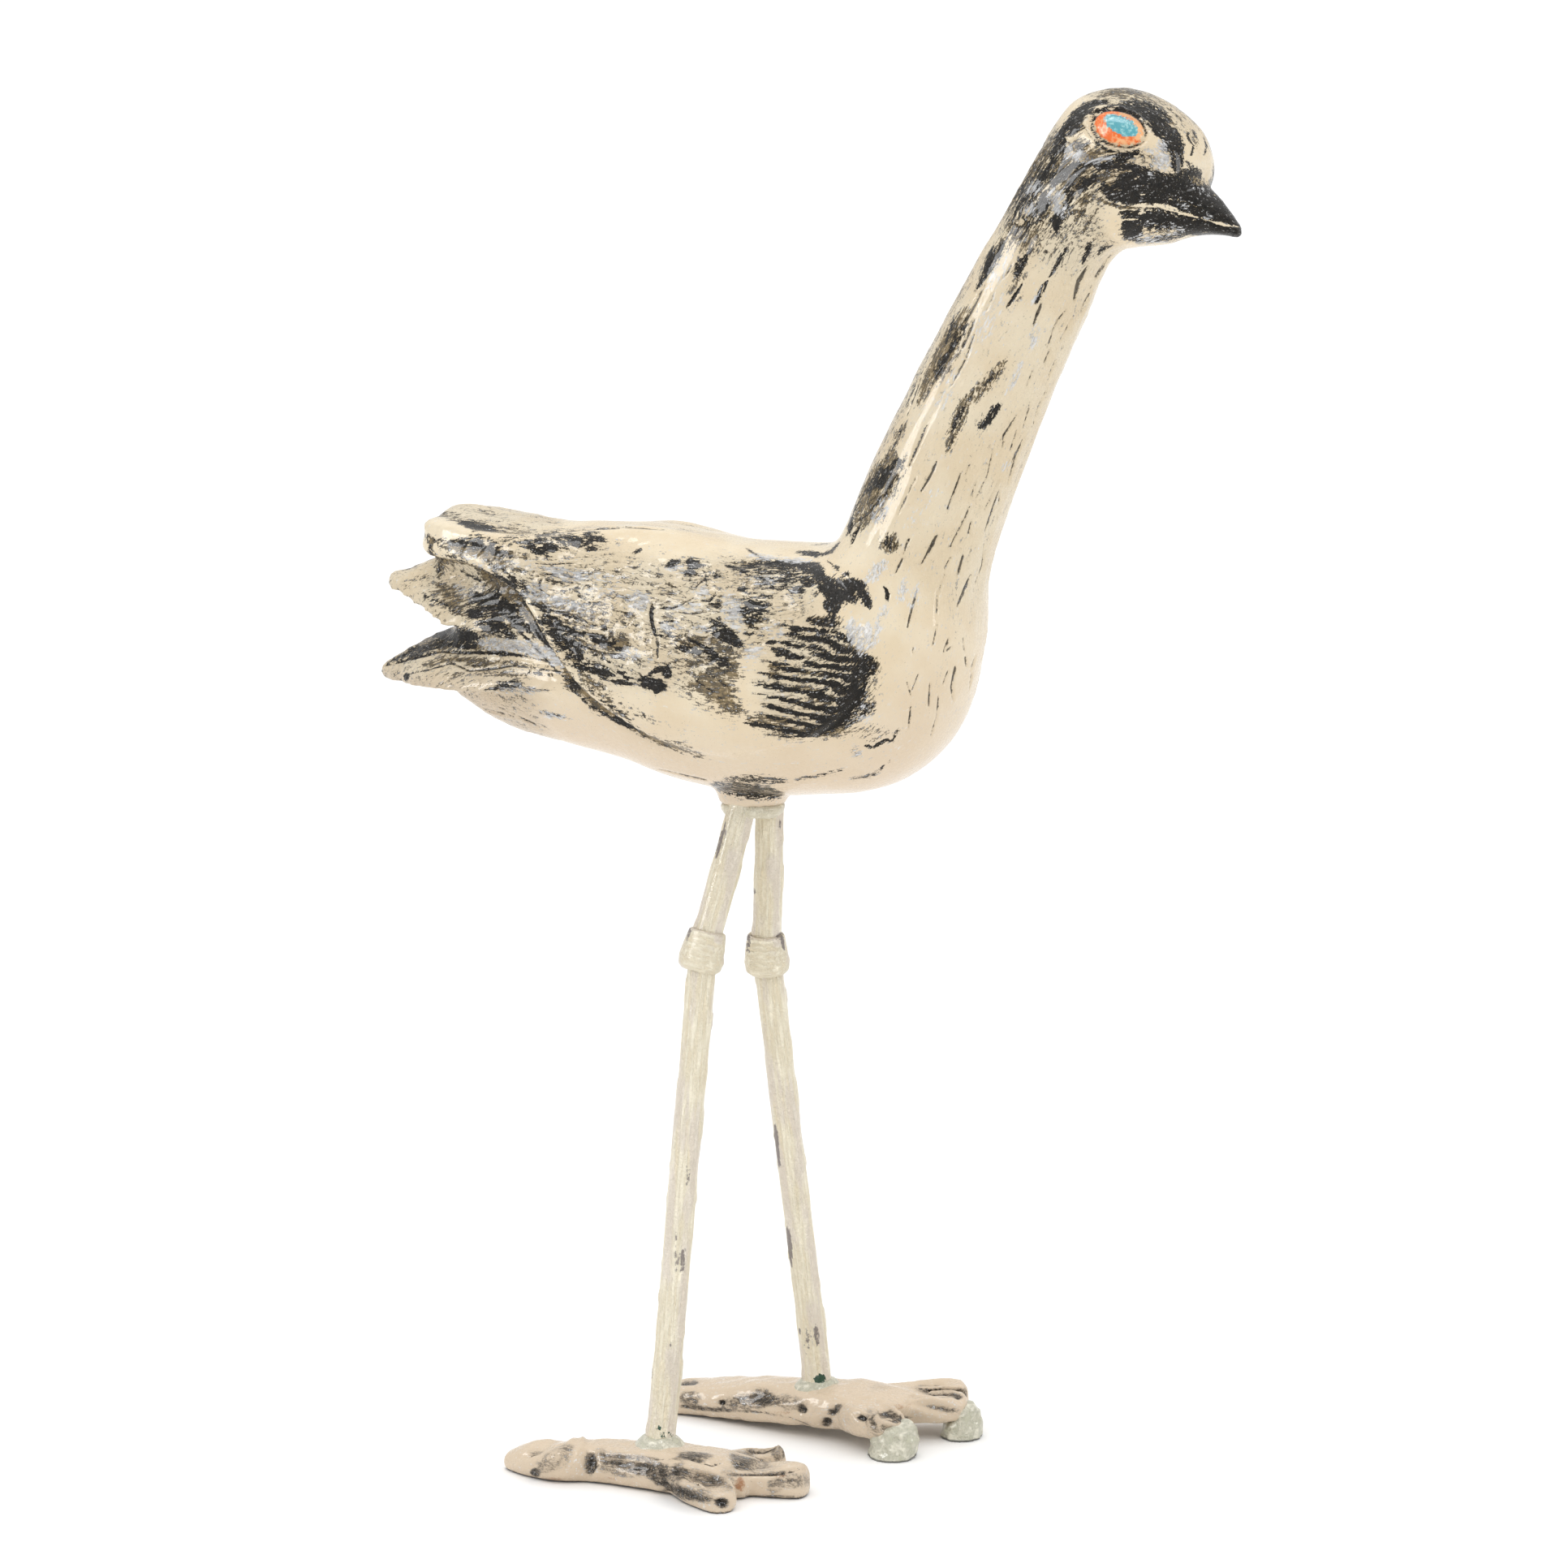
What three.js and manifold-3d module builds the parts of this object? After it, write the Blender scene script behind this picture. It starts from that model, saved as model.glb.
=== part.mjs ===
// A glazed pottery shore bird on two painted steel rod legs with knee collars and pottery feet.
// Millimetres, +Z up, beak towards +X, the bird's left side towards +Y.
import * as THREE from "three";
import { mergeVertices } from "three/addons/utils/BufferGeometryUtils.js";
import Module from "manifold-3d";

const wasm = await Module();
wasm.setup();

// How finely the round shapes are facetted
const RING_POINTS = 24;
const RUMP_POINTS = 20;
const BEAK_POINTS = 16;
const LEAF_POINTS = 16;
const LUMP_POINTS = 20;
const SOLE_POINTS = 14;
const TOE_POINTS = 12;
const ROD_SIDES = 12;
const EYE_MERIDIANS = 16;
const EYE_PARALLELS = 8;
const RINGS_PER_SECTION = 2;
const CURVE_POINTS_PER_SPOT = 1.5;
const MERGE_DISTANCE = 1e-4;

// Driving dimensions
const TOUCH_GAP = 0.3;
const MOVED_COPY_GAP = 1.3 * TOUCH_GAP;
const ROD_DIAMETER = 13.8;
const SOCKET_DEPTH = 5;
const KNEE_CLEARANCE = 1.4;
const BORE_BEYOND_KNEE = 30;
const COLLAR_HEIGHT = 19;
const COLLAR_TOP_DIAMETER = 18;
const COLLAR_SKIRT_DIAMETER = 22;
const COLLAR_LOWER_BEVEL = 1.6;
const COLLAR_SKIRT_Z = -0.22 * COLLAR_HEIGHT;
const WING_RELIEF = 4.5;
const RUMP_RELIEF = 0.6 * WING_RELIEF;
const WING_INNER_Y = 10;
const WING_REACH = 80;
const WINGED_SECTIONS = 12;
const HEAD_TURN = THREE.MathUtils.degToRad(-8);
const HEAD_PIVOT_X = 130;
const HEAD_TURN_FROM_Z = 560;
const HEAD_TURN_FULL_Z = 610;
const EYE_LENGTH = 23;
const EYE_HEIGHT = 18;
const EYE_RELIEF = 2.2;
const EYE_CENTRE = { x: 178, y: 27.5, z: 645 };
const EYE_SLANT = THREE.MathUtils.degToRad(14);
const EYE_LEAN = THREE.MathUtils.degToRad(14);
const EYE_TOWARDS_BEAK = THREE.MathUtils.degToRad(-8);
// Powers that make a round section fuller (below 1) or sharper (above 1)
const BODY_FULLNESS = 0.92;
const LEAF_FULLNESS = 0.8;
const LEAF_DROOP_POWER = 1.35;
const FOOT_FULLNESS = 0.8;
const FOOT_TOP_FULLNESS = 0.85;

// Sections from the tail end to the forehead: back x, back z, belly x, belly z, half width.
const BODY_SECTIONS = [
  [-172, 400, -172, 376, 16],
  [-150, 434, -155, 363.5, 27],
  [-128, 455, -133, 354.5, 37],
  [-103, 458.5, -108, 349, 45],
  [-74, 459, -77, 343, 52],
  [-44, 455.5, -48, 334.5, 57],
  [-18, 451.5, -17, 330, 60],
  [4, 451, 15, 330, 61],
  [24, 451, 56, 337, 60],
  [32, 455, 85, 362, 55],
  [35.5, 462, 97, 402, 46.5],
  [40.5, 474, 100.5, 439, 38],
  [56.5, 508.5, 120.5, 495, 33.5],
  [81, 555, 142.5, 548, 31.5],
  [104.5, 596.5, 157, 582, 29.5],
  [124, 626.5, 168, 591, 30.5],
  [141.5, 654, 179, 592.5, 32],
  [155, 662.5, 187, 595, 32.5],
  [171, 663.5, 193, 599, 31.5],
  [188, 657.5, 197, 603.5, 29.5],
  [200.5, 647.5, 199.5, 608, 25.5],
  [205, 640, 203, 612, 21],
  [207.5, 633.5, 205.5, 616.5, 15],
  [208.3, 628, 207.5, 622, 8],
];
// Upper and lower line of the beak, from inside the head to the blunt tip.
const BEAK_SECTIONS = [
  [172, 632, 168, 591, 27],
  [183, 631, 178, 591.5, 23.5],
  [194, 627.5, 189, 592.5, 19],
  [205.5, 622, 199, 595.5, 14.8],
  [214, 615.5, 208, 597, 11],
  [220.5, 608.5, 216, 597, 8],
  [225, 602, 223, 596, 5.4],
  [227, 599, 226.3, 596.2, 3],
];
// The joined wing tips form a blunt rump: x, top z, lower z, half width.
const RUMP_SECTIONS = [
  [-72, 451, 402, 38],
  [-96, 456, 407, 42],
  [-116, 458, 414, 42],
  [-136, 460.5, 423, 38],
  [-156, 463.5, 429, 32],
  [-168, 464, 432, 27.5],
  [-174.5, 463, 434, 23],
  [-177.5, 459, 438, 16],
];
// Tail leaves, root to tip: x, crest z, half width, droop of the rims, thickness.
const UPPER_LEAF_SECTIONS = [
  [-108, 446, 36, 38, 10],
  [-124, 452, 43, 43, 12],
  [-140, 452, 42, 42, 12],
  [-160, 447, 35, 34, 11.5],
  [-178, 440, 25, 20, 11],
  [-193, 434.5, 15, 9, 9.5],
  [-203, 430.5, 7.5, 3, 7.5],
  [-207, 428.5, 3.5, 0.5, 4.5],
];
const LOWER_LEAF_SECTIONS = [
  [-78, 404, 36, 16, 9],
  [-100, 411, 47, 24, 12.5],
  [-128, 411.5, 47, 26, 13],
  [-155, 409, 41, 25, 12.5],
  [-178, 402.5, 31, 18, 12],
  [-195, 393.5, 18, 9.5, 11],
  [-206.5, 387, 8.5, 3.5, 9],
  [-211.5, 384, 4, 0.5, 5],
];
// Side outline of the raised wing, x and z, clockwise from the shoulder.
const WING_OUTLINE = [
  [34, 443],
  [52, 434],
  [60, 414],
  [59, 394],
  [50, 377],
  [32, 364],
  [6, 356],
  [-19, 354],
  [-49, 361],
  [-78, 378],
  [-97, 397],
  [-112, 417],
  [-126, 429],
  [-150, 438],
  [-176, 442],
  [-184, 452],
  [-174, 459],
  [-120, 453.5],
  [-64, 458],
  [-15, 453],
];
// Collar of clay under the belly that takes both legs: z, half length, half width.
const BOSS_SECTIONS = [
  [342, 23, 21],
  [334, 19.5, 17.5],
  [327, 17, 15.5],
  [323.5, 15.5, 14],
];
const BOSS_X = -16;
const HIP_PUTTY_SECTIONS = [
  [323.2, 15.5, 14],
  [320.5, 15, 13.5],
  [318, 12.5, 11.5],
];
// Leg joints of each side: hip, knee and ankle.
const LEGS = {
  right: { hip: [-19.2, -8, 321], knee: [-34.5, -19, 254], ankle: [-43.2, -56, 16] },
  left: { hip: [-10.3, 8, 321], knee: [-15.2, 17, 248], ankle: [-0.8, 53, 21] },
};
// Soles, heel to toes: x, y, half width, height.
const SOLES = {
  right: [
    [-119, -60, 5, 9],
    [-107, -62, 12, 14.5],
    [-91, -63, 16, 17],
    [-74, -60, 14.5, 18],
    [-42, -58, 20, 19],
    [-16, -60, 23, 18],
    [4, -58, 17, 15],
  ],
  left: [
    [-92, 68, 7, 10],
    [-82, 68, 13, 15],
    [-56, 65, 15, 17.5],
    [-28, 60, 18, 19.5],
    [2, 55, 21, 20.5],
    [28, 53, 23, 19.5],
    [46, 55, 17, 15],
  ],
};
// Toes of each foot, root to tip: x, y, half width, height, depth of the scoop on top.
const TOES = {
  right: [
    [[-22, -70, 13, 15, 0], [-11, -81, 12.5, 16, 4], [-1, -90, 10, 14, 5], [3, -94, 8, 12, 2]],
    [[-6, -58, 12, 15, 0], [10, -57, 12, 15, 3], [23, -56, 11, 16, 1], [29, -56, 9, 15, 0]],
    [[-14, -46, 11, 15, 0], [-3, -39, 10, 16, 2], [6, -34, 9, 17, 4], [9, -32, 7, 18, 1]],
  ],
  left: [
    [[20, 45, 12, 16, 0], [34, 33, 12, 17.5, 3], [45, 25, 11, 15.5, 4], [49, 22, 9, 13, 1]],
    [[34, 56, 12, 15, 0], [50, 61, 11, 15, 3], [64, 66, 10, 15, 2], [70, 68, 8, 13, 0]],
    [[20, 64, 12, 16, 0], [40, 76, 11, 16.5, 3], [56, 84, 10, 16.5, 4], [64, 87, 8, 15, 1]],
  ],
};
const FOOT_TOP_STEEPNESS = 1.25;
const FOOT_RISE = 0.885;
const SCOOP_WIDTH_SHARE = 0.72;
const ROUND_END_REACH = 2.5;
const ROUND_END_SHARE = 0.62;
const ON_GROUND = 0.01;
// The left foot is tipped up about its heel and sinks a little there.
const LEFT_PITCH = THREE.MathUtils.degToRad(-3.7);
const LEFT_PITCH_X = -88;
const LEFT_SINK = 0.6;
const ABOVE_GROUND = { length: 400, width: 300, height: 100, y: 60 };
// Two pads of putty hold its toes up: centre x, y, half length, half width, height.
const TOE_PADS = {
  left_inner_toe_pad: [48, 24, 12.5, 13, 17],
  left_middle_toe_pad: [69, 68, 10, 11, 18],
};
// Shares of a pad's height, half length and half width, from the ground up.
const PAD_PROFILE = [
  [0, 1, 1],
  [0.45, 0.96, 0.94],
  [0.85, 0.7, 0.66],
  [1, 0.35, 0.35],
];
// Directions in which a pad keeps clear of the foot.
const PAD_GAPS = [
  [0, 0, -1],
  [1, 0, -0.5],
  [0, -1, -0.5],
  [-0.3, 1, -0.5],
];
// The putty round each ankle: z above the rod's end, half length, half width.
const ANKLE_PUTTY_SECTIONS = [
  [-4, 13.5, 12.5],
  [2.4, 12.5, 12],
  [6, 8.5, 8.3],
];
// How far each collar turns from the upper rod's direction towards the lower rod's.
const COLLAR_TILT = { right: 0.25, left: 0.5 };

// Materials
const finish = (color, roughness, metalness = 0) =>
  new THREE.MeshStandardMaterial({ color, roughness, metalness });
const glazedBody = finish(0xd9c7a6, 0.18);
const glazedFeet = finish(0xe6cdb4, 0.25);
const paintedSteel = finish(0xe0d7bd, 0.35);
const puttyCream = finish(0xd8d2b4, 0.55);
const puttyGreen = finish(0xc3c8ac, 0.55);

// A value row between hand-set rows, on a smooth curve through all of them.
function rowAt(rows, place) {
  const last = rows.length - 1;
  const index = Math.min(Math.floor(place), last - 1);
  const t = place - index;
  const pick = (i) => rows[Math.max(0, Math.min(last, i))];
  const [a, b, c, d] = [pick(index - 1), pick(index), pick(index + 1), pick(index + 2)];
  return b.map((_, k) => {
    const slopeB = (c[k] - a[k]) / 2;
    const slopeC = (d[k] - b[k]) / 2;
    const t2 = t * t;
    const t3 = t2 * t;
    return (
      (2 * t3 - 3 * t2 + 1) * b[k] +
      (t3 - 2 * t2 + t) * slopeB +
      (3 * t2 - 2 * t3) * c[k] +
      (t3 - t2) * slopeC
    );
  });
}

// Rows filled in between the hand-set ones.
function refined(rows, steps) {
  const places = (rows.length - 1) * steps;
  return Array.from({ length: places + 1 }, (_, i) => rowAt(rows, i / steps));
}

const signedPower = (value, exponent) => Math.sign(value) * Math.abs(value) ** exponent;

// Skin over rings of equally many points, closed at both ends.
function skin(rings) {
  const count = rings[0].length;
  const points = rings.flat();
  const faces = [];
  for (let r = 0; r + 1 < rings.length; r += 1) {
    for (let i = 0; i < count; i += 1) {
      const a = r * count + i;
      const b = r * count + ((i + 1) % count);
      faces.push(a, b, a + count, b, b + count, a + count);
    }
  }
  for (const end of [0, rings.length - 1]) {
    const centre = new THREE.Vector3();
    rings[end].forEach((point) => centre.addScaledVector(point, 1 / count));
    const tip = points.push(centre) - 1;
    for (let i = 0; i < count; i += 1) {
      const a = end * count + i;
      const b = end * count + ((i + 1) % count);
      faces.push(...(end === 0 ? [tip, b, a] : [tip, a, b]));
    }
  }
  return solidFrom(points, faces);
}

// A closed solid with its faces outwards, whichever way the rings ran.
function solidFrom(points, faces) {
  let volume = 0;
  const cross = new THREE.Vector3();
  for (let f = 0; f < faces.length; f += 3) {
    const [a, b, c] = [points[faces[f]], points[faces[f + 1]], points[faces[f + 2]]];
    volume += a.dot(cross.crossVectors(b, c));
  }
  if (volume < 0) faces.reverse();
  return manifoldOf(new Float32Array(points.flatMap((p) => p.toArray())), new Uint32Array(faces));
}

function manifoldOf(vertProperties, triVerts) {
  return new wasm.Manifold(new wasm.Mesh({ numProp: 3, vertProperties, triVerts }));
}

// A three.js geometry as a solid, with only its merged positions.
function solidOf(geometry) {
  const bare = new THREE.BufferGeometry();
  bare.setAttribute("position", geometry.getAttribute("position"));
  bare.setIndex(geometry.getIndex());
  const merged = mergeVertices(bare, MERGE_DISTANCE);
  return manifoldOf(merged.getAttribute("position").array, new Uint32Array(merged.index.array));
}

function geometryOf(solid) {
  const mesh = solid.getMesh();
  const indexed = new THREE.BufferGeometry();
  indexed.setAttribute("position", new THREE.BufferAttribute(mesh.vertProperties, 3));
  indexed.setIndex(new THREE.BufferAttribute(mesh.triVerts, 1));
  const flat = indexed.toNonIndexed();
  flat.computeVertexNormals();
  return flat;
}

const joined = (solids) => solids.reduce((whole, next) => whole.add(next));

// The head and beak look a little to the bird's right.
function withHeadTurn(point) {
  const weight = THREE.MathUtils.smoothstep(point.z, HEAD_TURN_FROM_Z, HEAD_TURN_FULL_Z);
  const angle = HEAD_TURN * weight;
  const forward = point.x - HEAD_PIVOT_X;
  return new THREE.Vector3(
    HEAD_PIVOT_X + forward * Math.cos(angle) - point.y * Math.sin(angle),
    forward * Math.sin(angle) + point.y * Math.cos(angle),
    point.z,
  );
}

// One ring across the body, from the line of the back round to the line of the belly.
function bodyRing([backX, backZ, bellyX, bellyZ, halfWidth], count, extra = 0) {
  return Array.from({ length: count }, (_, i) => {
    const angle = (i / count) * 2 * Math.PI;
    const along = (1 - signedPower(Math.cos(angle), BODY_FULLNESS)) / 2;
    const across = signedPower(Math.sin(angle), BODY_FULLNESS) * (halfWidth + extra);
    return withHeadTurn(
      new THREE.Vector3(
        THREE.MathUtils.lerp(backX, bellyX, along),
        across,
        THREE.MathUtils.lerp(backZ, bellyZ, along),
      ),
    );
  });
}

function bodyLoft(sections, count, extra = 0, steps = RINGS_PER_SECTION) {
  return skin(refined(sections, steps).map((row) => bodyRing(row, count, extra)));
}

// The rump's sections stand upright across the body.
function rumpLoft(extra = 0) {
  const rows = RUMP_SECTIONS.map(([x, topZ, lowZ, halfWidth]) => [x, topZ, x, lowZ, halfWidth]);
  return bodyLoft(rows, RUMP_POINTS, extra, 1);
}

// A tail leaf like a ridge tile: a crest along the middle and rims that droop on both sides.
function leafLoft(sections) {
  const rows = refined(sections, RINGS_PER_SECTION);
  const rings = rows.map(([x, crestZ, halfWidth, droop, thickness]) =>
    Array.from({ length: LEAF_POINTS }, (_, i) => {
      const angle = (i / LEAF_POINTS) * 2 * Math.PI;
      const across = Math.cos(angle);
      const middleZ = crestZ - thickness / 2 - droop * Math.abs(across) ** LEAF_DROOP_POWER;
      return new THREE.Vector3(
        x,
        across * halfWidth,
        middleZ + (thickness / 2) * signedPower(Math.sin(angle), LEAF_FULLNESS),
      );
    }),
  );
  return skin(rings);
}

// The raised wing on one side: a fatter body and rump, kept only inside the wing's outline.
function wing(side) {
  const curve = new THREE.CatmullRomCurve3(
    WING_OUTLINE.map(([x, z]) => new THREE.Vector3(x, z, 0)),
    true,
  );
  const spots = curve.getPoints(CURVE_POINTS_PER_SPOT * WING_OUTLINE.length).slice(0, -1);
  const slab = new THREE.ExtrudeGeometry(new THREE.Shape(spots), {
    depth: WING_REACH,
    bevelEnabled: false,
  });
  slab.rotateX(Math.PI / 2);
  slab.translate(0, side > 0 ? WING_INNER_Y + WING_REACH : -WING_INNER_Y, 0);
  const fatBody = bodyLoft(BODY_SECTIONS.slice(0, WINGED_SECTIONS), RING_POINTS, WING_RELIEF);
  return fatBody.add(rumpLoft(RUMP_RELIEF)).intersect(solidOf(slab));
}

// A low oval eye on one side of the head.
function eye(side) {
  const ball = new THREE.SphereGeometry(1, EYE_MERIDIANS, EYE_PARALLELS);
  ball.scale(EYE_LENGTH / 2, EYE_RELIEF * 2, EYE_HEIGHT / 2);
  ball.rotateY(EYE_SLANT);
  ball.rotateX(side * EYE_LEAN);
  ball.rotateZ(side * EYE_TOWARDS_BEAK);
  ball.translate(EYE_CENTRE.x, side * EYE_CENTRE.y, EYE_CENTRE.z);
  const position = ball.getAttribute("position");
  for (let i = 0; i < position.count; i += 1) {
    const turned = withHeadTurn(new THREE.Vector3().fromBufferAttribute(position, i));
    position.setXYZ(i, turned.x, turned.y, turned.z);
  }
  return solidOf(ball);
}

// A lump of oval level slices, such as the clay boss or a ring of putty.
function ovalLump(slices, x, y) {
  const rings = slices.map(([z, halfLength, halfWidth]) =>
    Array.from({ length: LUMP_POINTS }, (_, i) => {
      const angle = (i / LUMP_POINTS) * 2 * Math.PI;
      return new THREE.Vector3(
        x + halfLength * Math.cos(angle),
        y + halfWidth * Math.sin(angle),
        z,
      );
    }),
  );
  return skin(rings);
}

const vector = (values) => new THREE.Vector3(...values);

// A shape that stands on the Y axis, set upright on another axis round a point.
function setOn(shape, centre, axis) {
  const up = new THREE.Vector3(0, 1, 0);
  shape.applyQuaternion(new THREE.Quaternion().setFromUnitVectors(up, axis.clone().normalize()));
  shape.translate(...centre.toArray());
  return solidOf(shape);
}

// A straight round bar between two points.
function bar(from, to, radius) {
  const axis = to.clone().sub(from);
  const shape = new THREE.CylinderGeometry(radius, radius, axis.length(), ROD_SIDES);
  return setOn(shape, from.clone().lerp(to, 0.5), axis);
}

// The knee collar before it is bored: wider at its skirt, with a turned-in lower edge.
function collarBlank(centre, axis) {
  const profile = [
    [0, -0.5 * COLLAR_HEIGHT],
    [COLLAR_SKIRT_DIAMETER / 2 - COLLAR_LOWER_BEVEL, -0.5 * COLLAR_HEIGHT],
    [COLLAR_SKIRT_DIAMETER / 2, COLLAR_SKIRT_Z],
    [COLLAR_TOP_DIAMETER / 2, 0.5 * COLLAR_HEIGHT],
    [0, 0.5 * COLLAR_HEIGHT],
  ];
  const points = profile.map(([radius, height]) => new THREE.Vector2(radius, height));
  return setOn(new THREE.LatheGeometry(points, ROD_SIDES), centre, axis);
}

// A point that lies past the end of a line by some distance.
function past(from, end, distance) {
  return end.clone().addScaledVector(end.clone().sub(from).normalize(), distance);
}

// Rings of a foot or toe stand across its own direction, flat below and rounded above.
function footLoft(rows, sides) {
  const rings = rows.map(([x, y, halfWidth, height, scoop = 0], i) => {
    const before = rows[Math.max(0, i - 1)];
    const after = rows[Math.min(rows.length - 1, i + 1)];
    const heading = Math.atan2(after[1] - before[1], after[0] - before[0]);
    return Array.from({ length: sides }, (_, k) => {
      const angle = (k / sides) * 2 * Math.PI;
      const across = signedPower(Math.cos(angle), FOOT_FULLNESS) * halfWidth;
      const rise = Math.sin(angle);
      const fromScoop = across / (SCOOP_WIDTH_SHARE * halfWidth);
      const hollow = rise > 0 ? scoop * Math.max(0, 1 - fromScoop ** 2) : 0;
      const swollen = 1 + signedPower(rise * FOOT_TOP_STEEPNESS, FOOT_TOP_FULLNESS);
      const z = Math.max(0, (height / 2) * swollen) * FOOT_RISE;
      return new THREE.Vector3(
        x - Math.sin(heading) * across,
        y + Math.cos(heading) * across,
        z - hollow,
      );
    });
  });
  return skin([roundEnd(rings, 0), ...rings, roundEnd(rings, rings.length - 1)]);
}

// One smaller ring beyond an end ring, so that a toe or heel ends round.
function roundEnd(rings, end) {
  const inner = rings[end === 0 ? 1 : end - 1];
  const outer = rings[end];
  const centre = new THREE.Vector3();
  const inside = new THREE.Vector3();
  outer.forEach((point) => centre.addScaledVector(point, 1 / outer.length));
  inner.forEach((point) => inside.addScaledVector(point, 1 / inner.length));
  const forward = centre.clone().sub(inside).setZ(0).setLength(ROUND_END_REACH);
  return outer.map((point) => {
    const moved = point.clone().sub(centre).multiplyScalar(ROUND_END_SHARE).add(centre).add(forward);
    return point.z < ON_GROUND ? moved.setZ(0) : moved;
  });
}

const standing = (side, solid) => (side === "left" ? tipped(solid) : solid);
const sole = (side) => footLoft(SOLES[side], SOLE_POINTS);
const toes = (side) => TOES[side].map((toe) => footLoft(toe, TOE_POINTS));
const foot = (side) => standing(side, joined([sole(side), ...toes(side)]));

// The left foot turned about its heel, then cut level where it meets the ground.
function tipped(solid) {
  const matrix = new THREE.Matrix4()
    .makeTranslation(LEFT_PITCH_X, 0, -LEFT_SINK)
    .multiply(new THREE.Matrix4().makeRotationY(LEFT_PITCH))
    .multiply(new THREE.Matrix4().makeTranslation(-LEFT_PITCH_X, 0, 0));
  const { length, width, height, y } = ABOVE_GROUND;
  const block = new THREE.BoxGeometry(length, width, height);
  block.translate(0, y, height / 2);
  return solid.transform(matrix.elements).intersect(solidOf(block));
}

// A solid together with copies of it moved by a little more than the touching gap.
function withGap(solid, directions) {
  const moved = directions.map((d) => solid.translate(d.map((v) => v * MOVED_COPY_GAP)));
  return joined([solid, ...moved]);
}

// One leg: two rods that meet inside a collar, and the foot that takes the lower one.
function leg(side) {
  const { hip, knee, ankle } = LEGS[side];
  const [hipPoint, kneePoint, anklePoint] = [vector(hip), vector(knee), vector(ankle)];
  const radius = ROD_DIAMETER / 2;
  const rod = (from, to, extra = 0) => bar(from, to, radius + extra);
  const upperFrom = past(kneePoint, hipPoint, SOCKET_DEPTH);
  const upperTo = past(hipPoint, kneePoint, -KNEE_CLEARANCE);
  const lowerFrom = past(anklePoint, kneePoint, -KNEE_CLEARANCE);
  const axis = hipPoint.clone().sub(kneePoint).normalize();
  axis.lerp(kneePoint.clone().sub(anklePoint).normalize(), COLLAR_TILT[side]).normalize();
  const collar = collarBlank(kneePoint, axis)
    .subtract(rod(past(hipPoint, kneePoint, BORE_BEYOND_KNEE), hipPoint, TOUCH_GAP))
    .subtract(rod(past(anklePoint, kneePoint, BORE_BEYOND_KNEE), anklePoint, TOUCH_GAP));
  return {
    upper: rod(upperFrom, upperTo),
    lower: rod(lowerFrom, anklePoint),
    collar,
    hipBore: rod(past(kneePoint, hipPoint, SOCKET_DEPTH + TOUCH_GAP), kneePoint, TOUCH_GAP),
    ankleBore: rod(past(kneePoint, anklePoint, TOUCH_GAP), kneePoint, TOUCH_GAP),
  };
}

const rightLeg = leg("right");
const leftLeg = leg("left");

// Body, neck, head, beak, eyes, wings, tail leaves and boss are one fired piece.
const boss = ovalLump(BOSS_SECTIONS, BOSS_X, 0);
const birdBody = joined([
  bodyLoft(BODY_SECTIONS, RING_POINTS),
  bodyLoft(BEAK_SECTIONS, BEAK_POINTS, 0, 1),
  rumpLoft(),
  leafLoft(UPPER_LEAF_SECTIONS),
  leafLoft(LOWER_LEAF_SECTIONS),
  wing(-1),
  wing(1),
  eye(-1),
  eye(1),
  boss,
])
  .subtract(rightLeg.hipBore)
  .subtract(leftLeg.hipBore);
const hipPutty = ovalLump(HIP_PUTTY_SECTIONS, BOSS_X, 0)
  .subtract(rightLeg.hipBore)
  .subtract(leftLeg.hipBore);

const rightFoot = foot("right").subtract(rightLeg.ankleBore);
const leftFoot = foot("left").subtract(leftLeg.ankleBore);

// A ring of putty where a rod enters its foot.
function anklePutty(side, bore) {
  const [x, y, z] = LEGS[side].ankle;
  const slices = ANKLE_PUTTY_SECTIONS.map(([above, ...halves]) => [z + above, ...halves]);
  const under = withGap(standing(side, sole(side)), [[0, 0, 1]]);
  return ovalLump(slices, x, y).subtract(under).subtract(bore);
}

// A lump of putty pressed under and round the end of a raised toe.
function toePad([x, y, halfLength, halfWidth, height]) {
  const size = [height, halfLength, halfWidth];
  const slices = PAD_PROFILE.map((shares) => shares.map((share, k) => share * size[k]));
  return ovalLump(slices, x, y).subtract(withGap(foot("left"), PAD_GAPS));
}

const figure = new THREE.Group();

function addPiece(name, solid, material) {
  const mesh = new THREE.Mesh(geometryOf(solid), material);
  mesh.name = name;
  figure.add(mesh);
}

addPiece("bird_body", birdBody, glazedBody);
addPiece("hip_putty", hipPutty, puttyCream);
addPiece("right_upper_leg", rightLeg.upper, paintedSteel);
addPiece("right_knee_collar", rightLeg.collar, paintedSteel);
addPiece("right_lower_leg", rightLeg.lower, paintedSteel);
addPiece("left_upper_leg", leftLeg.upper, paintedSteel);
addPiece("left_knee_collar", leftLeg.collar, paintedSteel);
addPiece("left_lower_leg", leftLeg.lower, paintedSteel);
addPiece("right_foot", rightFoot, glazedFeet);
addPiece("left_foot", leftFoot, glazedFeet);
addPiece("right_ankle_putty", anklePutty("right", rightLeg.ankleBore), puttyGreen);
addPiece("left_ankle_putty", anklePutty("left", leftLeg.ankleBore), puttyGreen);
for (const [name, pad] of Object.entries(TOE_PADS)) addPiece(name, toePad(pad), puttyGreen);

// The origin is under the middle of the whole figure, on the ground.
const box = new THREE.Box3().setFromObject(figure);
const middle = box.getCenter(new THREE.Vector3());
figure.position.set(-middle.x, -middle.y, -box.min.z);
const group = new THREE.Group();
group.add(figure);

export default group;
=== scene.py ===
"""A glazed pottery shore bird on painted rods: worked clay, glaze, putty, paint, floor, light and camera."""

import itertools
import math

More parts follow.
